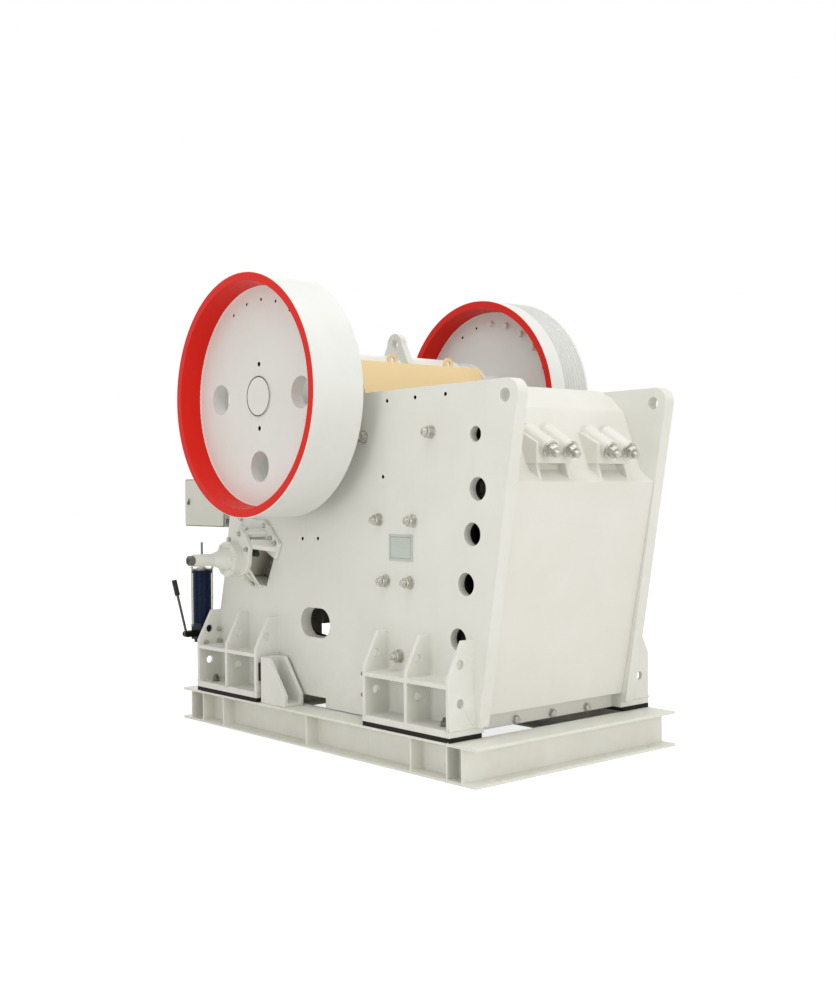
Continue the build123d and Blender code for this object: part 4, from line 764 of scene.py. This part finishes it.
for side, hand in sides_of_machine:
    work = bmesh.new()
    prism(work, outline_at(flange_outline, hand * wall_face), (0, hand * (flange_face - wall_face), 0))
    prism(work, outline_at(end_plate_outline, hand * plate_back),
          (0, hand * (end_plate_face - plate_back), 0))
    for start, end in arms:
        lofted(work, outline_at(start, hand * (plate_back + sunk)),
               outline_at(end, hand * (flange_face - sunk)))
    for seat in outline_at(flange_bolts[:5], hand * (flange_face - sunk)):
        turned(work, seat, (0, hand, 0), ((0, 0.024), (seat_height + sunk, 0.022)))
    bracket = piece_from(work, "adjuster_bracket_cast_" + side, "root", cream_enamel, 0.005)
    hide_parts("adjuster_bracket_" + side)
    feet_at = outline_at(flange_bolts, hand * (flange_face + seat_height))
    feet_at += outline_at(end_plate_bolts, hand * end_plate_face)
    fasten("bracket_bolts_" + side, [(at, (0, hand, 0)) for at in feet_at], 0.024, "root")
    work = bmesh.new()
    turned(work, beside_wedge(0.057, 0.075, hand * 0.68), adjuster_run,
           ((0, 0.026), (0.018, 0.026), (0.021, 0.018), (0.036, 0.018), (0.039, 0.012), (0.05, 0.012),
            (0.054, 0.008)))
    piece_from(work, "adjuster_fitting_" + side, "root", fitting_enamel)
    rows = [(at, (0, hand, 0)) for at in outline_at(cylinder_bolts, hand * cylinder_face)]
    fasten("cylinder_bolts_" + side, rows, 0.02, "root", finish=cream_enamel)

# Jaw dies and cheek plates
# Toothed castings of manganese steel, dark grey from the mould and rough where they aren't yet worn.
cast_steel, tree, shader = plain_material("manganese_castings")
where = on_machine(tree)[0]
skin = spread(tree, noise(tree, where, 24.0, 6.0, 0.65), 0.3, 0.7)
feed(tree, shader, {"Base Color": tint(tree, skin, tone(84, 82, 79), tone(128, 124, 117)),
                    "Roughness": spread(tree, skin, 0.0, 1.0, 0.5, 0.72), "Metallic": 0.55})
raise_bumps(tree, shader, plus(tree, skin, noise(tree, where, 160.0, 3.0)), 0.45, 0.0016)
dress(["fixed_jaw_die", "swing_jaw_die", "cheek_plates_left", "cheek_plates_right"], cast_steel, 0.003)

# Pitman, toggle plate and tension rod
# The pitman is a steel casting, enamelled, with a lifting lug on its back. The toggle plate is cast
# iron, and the rod that keeps them together is turned steel.
cast_enamel = enamelled("cast_enamel", cream_tone, dust=0.35, peel=3.0, gloss=0.48, bump=0.4)
dress(["pitman"], cast_enamel, 0.004)
dress(["toggle_plate"], cast_steel, 0.003)
shaft_steel, tree, shader = plain_material("turned_steel")
cuts = spread(tree, drawn_out(tree, on_machine(tree)[0], (4.0, 700.0, 4.0), 2.0), 0.3, 0.7)
feed(tree, shader, {"Base Color": tint(tree, cuts, tone(166, 165, 162), tone(196, 195, 191)),
                    "Roughness": spread(tree, cuts, 0.0, 1.0, 0.24, 0.4), "Metallic": 0.95})
raise_bumps(tree, shader, cuts, 0.12, 0.0003)
dress(["tension_rod"], shaft_steel, 0.0015)

# Shaft, bearing housings and wheels
# Cast housings with bolted flanges hold the shaft. Both wheels are castings with a solid web, three
# lightening holes and small drillings, cream with the rim picked out in red; one has belt grooves.
dress(["bearing_housing_left", "bearing_housing_right"], cast_enamel, 0.003)
dress(["eccentric_shaft"], shaft_steel, 0.002)
shaft_x, shaft_z = -0.2222, 2.0263
flange_bolt_r, flange_out, cover_bolt_r, cover_out = 0.253, 0.655, 0.175, 0.725
housing_r, nipple_out = 0.224, 0.678


def round_shaft(reach, turn):
    """X and Z of a point round the shaft, at a reach from its axis and a turn in degrees."""
    return shaft_x + reach * cos(radians(turn)), shaft_z + reach * sin(radians(turn))


def ring_of_bolts(reach, out, hand, count):
    """Rows for bolts evenly round the shaft on a face that looks outwards."""
    places = [round_shaft(reach, 360 / count * step) for step in range(count)]
    return [((x, hand * out, z), (0, hand, 0)) for x, z in places]


for side, hand in sides_of_machine:
    rows = ring_of_bolts(flange_bolt_r, flange_out, hand, 12)
    fasten("housing_bolts_" + side, rows, 0.024, "root", finish=cream_enamel)
    work = bmesh.new()
    for lean in (-24, 24):
        spoke = Vector((sin(radians(lean)), 0, cos(radians(lean))))
        turned(work, Vector((shaft_x, hand * nipple_out, shaft_z)) + housing_r * spoke, spoke,
               ((0, 0.009), (0.01, 0.009), (0.011, 0.006), (0.02, 0.0045), (0.022, 0.006), (0.026, 0.006),
                (0.029, 0.003)), 12)
    piece_from(work, "grease_nipples_" + side, "root", bolt_steel)
    fasten("cover_bolts_" + side, ring_of_bolts(cover_bolt_r, cover_out, hand, 8), 0.018, "root")


def between(tree, value, low, high):
    """1 where a value is between two limits."""
    return times(tree, above(tree, value, low), below(tree, value, high))


wheel_enamel, tree, shader = plain_material("wheel_enamel")
place = on_machine(tree)[1]
radius = from_axis(tree, place, shaft_x, shaft_z)
out = reckon(tree, "ABSOLUTE", place[1])
web_in, web_out, cap_face, rim_in_face, rim_out_face = 0.886, 0.966, 0.965, 0.7552, 1.0948
red_bore, red_face, cap_groove = (0.6335, 0.656), (0.63, 0.6985), (0.1095, 0.1165)
balance_ring, hub_holes_within = (0.54, 0.57), 0.205
on_rim_face = either_of(tree, below(tree, out, rim_in_face), above(tree, out, rim_out_face))
on_rim = either_of(tree, between(tree, radius, *red_bore),
                   times(tree, on_rim_face, between(tree, radius, *red_face)))
# Red on the outer half of both wheels, and on the inner half of the right one alone
picked_out = either_of(tree, above(tree, out, (web_in + web_out) / 2), above(tree, place[1], 0.0))
cream, red = (enamel_film(tree, colour, dust, 2.0, 0.4)
              for colour, dust in ((tone(228, 229, 227), 0.16), (tone(218, 30, 16), 0.04)))
both = tint(tree, times(tree, picked_out, on_rim), cream["Colour"], red["Colour"])
# A dark ring on the hub caps' faces is painted shade for their groove
groove_shade = times(tree, above(tree, out, cap_face), between(tree, radius, *cap_groove))
feed(tree, shader, {"Base Color": tint(tree, groove_shade, both, tone(84, 82, 74)),
                    "Roughness": cream["Roughness"], "Specular IOR Level": 0.2})
raise_bumps(tree, shader, cream["Height"], 0.3, 0.0007)
# The small holes drilled through the web are painted dark inside, as painted shade
in_web = between(tree, out, web_in + 0.002, web_out - 0.0015)
at_drilling = either_of(tree, between(tree, radius, *balance_ring), below(tree, radius, hub_holes_within))
across_web = below(tree, reckon(tree, "ABSOLUTE", way_faced(tree)[1]), 0.5)
paint_over(tree, times(tree, in_web, at_drilling, across_web), hole_shade_tone)
dress(["flywheel_left", "drive_wheel_right"], wheel_enamel, 0.003)
dress(["hub_caps"], wheel_enamel, 0.0015)
# Five of the right wheel's balance holes hold plugs with a head on both sides of the web
balance_r = 0.555
places = [round_shaft(balance_r, turn) for turn in (87.3, 72.05, 56.8, 41.55, 26.3)]
rows = [((x, web_in, z), (0, -1, 0)) for x, z in places] + [((x, web_out, z), (0, 1, 0)) for x, z in places]
fasten("balance_bolts", rows, 0.036, "rotor", finish=cream_enamel)

# Pitman guard
# A bent sheet over the pitman's nose that keeps rock off the bearings, in a tan enamel, with two
# drilled lifting ears. Four bolts hold its foot down on the pitman.
guard_enamel = enamelled("guard_enamel", tone(247, 219, 166), dust=0.1, gloss=0.38)
dress(["pitman_guard"], guard_enamel, 0.002)
foot_x, foot_top = 0.13, 2.04
rows = [((foot_x, y, foot_top), (0, 0, 1)) for y in (-0.36, -0.12, 0.12, 0.36)]
fasten("guard_bolts", rows, 0.026, "pitman")

# Nameplate
# A blank plate of brushed aluminium, held by four drive rivets.
plate_metal, tree, shader = plain_material("nameplate_aluminium")
where, place = on_machine(tree)
brushed = spread(tree, drawn_out(tree, where, (12.0, 12.0, 900.0)), 0.3, 0.7)
nameplate_x, nameplate_z, nameplate_face = 0.621, 1.1665, 0.623
border_x, border_z, border_width, rivet_x, rivet_z = 0.0862, 0.0588, 0.002, 0.093, 0.0655
off_x = reckon(tree, "ABSOLUTE", reckon(tree, "SUBTRACT", place[0], nameplate_x))
off_z = reckon(tree, "ABSOLUTE", reckon(tree, "SUBTRACT", place[2], nameplate_z))
within = times(tree, below(tree, off_x, border_x), below(tree, off_z, border_z))
beyond = either_of(tree, above(tree, off_x, border_x - border_width),
                   above(tree, off_z, border_z - border_width))
sheen = tint(tree, brushed, tone(176, 183, 177), tone(198, 203, 197))
feed(tree, shader, {"Base Color": tint(tree, times(tree, within, beyond), sheen, tone(70, 76, 80)),
                    "Roughness": spread(tree, brushed, 0.0, 1.0, 0.38, 0.52), "Metallic": 0.35})
raise_bumps(tree, shader, brushed, 0.1, 0.0002)
dress(["nameplate"], plate_metal, 0.001)
work = bmesh.new()
for across in (-rivet_x, rivet_x):
    for up in (-rivet_z, rivet_z):
        turned(work, (nameplate_x + across, -nameplate_face + 0.0005, nameplate_z + up), (0, -1, 0),
               ((0, 0.0042), (0.0012, 0.004), (0.0024, 0.003), (0.003, 0.0012)), 12)
piece_from(work, "nameplate_rivets", "root", bolt_steel, corner=60)

# Control cabinet
# A small sheet steel box with a hinged door and a latch, on a folded bracket behind the side plate.
cabinet_enamel = enamelled("cabinet_enamel", tone(212, 212, 204), dust=0.2, peel=0.7)
dress(["control_cabinet", "cabinet_bracket"], cabinet_enamel, 0.004)
cabinet_low, cabinet_high, cabinet_face = Vector((-1.622, 0, 1.244)), Vector((-1.14, 0, 1.56)), -0.619


def rounded_panel(mesh, inset, corner, low_out, high_out):
    """Adds a flat panel with round corners over the cabinet's door face."""
    points = []
    for turn, (x, z) in enumerate(((cabinet_high.x - inset, cabinet_high.z - inset),
                                   (cabinet_low.x + inset, cabinet_high.z - inset),
                                   (cabinet_low.x + inset, cabinet_low.z + inset),
                                   (cabinet_high.x - inset, cabinet_low.z + inset))):
        hub_x = x - corner if turn in (0, 3) else x + corner
        hub_z = z - corner if turn < 2 else z + corner
        points += [(hub_x + corner * cos(radians(90 * turn + 15 * step)), cabinet_face - low_out,
                    hub_z + corner * sin(radians(90 * turn + 15 * step))) for step in range(7)]
    prism(mesh, points, (0, low_out - high_out, 0))


work = bmesh.new()
rounded_panel(work, 0.004, 0.008, -0.001, 0.003)
piece_from(work, "cabinet_seal", "root", rubber)
work = bmesh.new()
rounded_panel(work, 0.007, 0.006, 0.002, 0.009)
piece_from(work, "cabinet_door", "root", cabinet_enamel, 0.003)
work = bmesh.new()
for z in (1.31, 1.494):
    turned(work, (-1.147, cabinet_face - 0.006, z - 0.026), (0, 0, 1),
           ((0, 0.006), (0.002, 0.008), (0.024, 0.008), (0.026, 0.0074), (0.028, 0.008), (0.05, 0.008),
            (0.052, 0.006)), 16)
piece_from(work, "cabinet_hinges", "root", bolt_steel)
work = bmesh.new()
turned(work, (-1.566, cabinet_face - 0.008, 1.4), (0, -1, 0),
       ((0, 0.013), (0.004, 0.013), (0.006, 0.011), (0.010, 0.0105)))
prism(work, [(-1.571, cabinet_face - 0.016, 1.392), (-1.564, cabinet_face - 0.016, 1.388),
             (-1.545, cabinet_face - 0.016, 1.426), (-1.55, cabinet_face - 0.016, 1.431)], (0, -0.006, 0))
piece_from(work, "cabinet_latch", "root", black_steel, 0.001)
work = bmesh.new()
prism(work, [(-1.176, -0.57, 1.262), (-1.1, -0.57, 1.262), (-1.145, -0.57, 1.304)], (0, -0.04, 0))
turned(work, (-1.2, -0.5, 1.243), (0, 0, -1), ((0, 0.016), (0.012, 0.016), (0.014, 0.012), (0.026, 0.011)))
piece_from(work, "cabinet_glands", "root", black_steel, 0.001)

# Hand grease pump
# A navy enamelled tank on a black pump block, with a plated cap and tie rods, hung on a bracket
# behind the left rear foot. Its steel lever has a rubber grip.
pump_finish, tree, shader = plain_material("pump_finish")
where, place = on_machine(tree)
worn = spread(tree, noise(tree, where, 30.0, 5.0, 0.6), 0.4, 0.75)
tank = tint(tree, worn, tone(8, 24, 50), tone(12, 29, 55))
block = tint(tree, worn, tone(16, 17, 18), tone(32, 32, 32))
plated = tint(tree, worn, tone(104, 104, 102), tone(140, 140, 136))
block_top, cap_from, grip_from = 0.6005, 0.966, 0.808
at_cap = above(tree, place[2], cap_from)
below_cap = tint(tree, above(tree, place[2], block_top), block, tank)
feed(tree, shader, {"Base Color": tint(tree, at_cap, below_cap, plated),
                    "Metallic": times(tree, at_cap, 0.85),
                    "Roughness": spread(tree, worn, 0.0, 1.0, 0.26, 0.34), "Specular IOR Level": 0.1})
raise_bumps(tree, shader, noise(tree, where, 90.0, 2.0), 0.06, 0.0003)
dress(["grease_pump"], pump_finish, 0.002)

lever_finish, tree, shader = plain_material("lever_finish")
where, place = on_machine(tree)
gripped = above(tree, place[2], grip_from)
worn = spread(tree, noise(tree, where, 40.0, 4.0, 0.6), 0.4, 0.75)
bare_rod = tint(tree, worn, tone(58, 58, 60), tone(84, 83, 81))
feed(tree, shader, {"Base Color": tint(tree, gripped, bare_rod, tone(26, 26, 28)),
                    "Roughness": spread(tree, gripped, 0.0, 1.0, 0.35, 0.7)})
ribs = add_node(tree, "ShaderNodeTexWave", {"Vector": where, "Scale": 60.0},
                wave_type="BANDS", bands_direction="Z")
raise_bumps(tree, shader, times(tree, ribs.outputs["Fac"], gripped), 0.6, 0.0015)
dress(["pump_lever"], lever_finish, 0.001)

pump_axis, tank_foot, tank_top, rod_reach = Vector((-1.292, -0.7, 0.0)), 0.6, 0.976, 0.0675
rod_rise = tank_top - tank_foot + 0.004
rod_profile = ((0, 0.009), (0.014, 0.009), (0.014, 0.004), (rod_rise, 0.004), (rod_rise, 0.0085),
               (rod_rise + 0.01, 0.0085), (rod_rise + 0.01, 0.004), (rod_rise + 0.02, 0.0035))
work = bmesh.new()
for hand in (-1, 1):
    foot = pump_axis + hand * rod_reach * Vector((0.658, 0.753, 0.0)) + Vector((0, 0, tank_foot - 0.004))
    turned(work, foot, (0, 0, 1), rod_profile, 16)
turned(work, pump_axis + Vector((0, 0, tank_top - 0.002)), (0, 0, 1),
       ((0, 0.034), (0.006, 0.034), (0.010, 0.030), (0.010, 0.018), (0.030, 0.018), (0.033, 0.015)))
piece_from(work, "pump_tie_rods", "root", bolt_steel)
pump_bracket_face = -1.185
pump_bolts = ((-0.645, 0.584), (-0.645, 0.513), (-0.741, 0.508))
rows = [((pump_bracket_face, y, z), (1, 0, 0)) for y, z in pump_bolts]
fasten("pump_bolts", rows, 0.024, "root")

for pattern in (bolt_head, nut_on_stud):
    bpy.data.objects.remove(pattern)
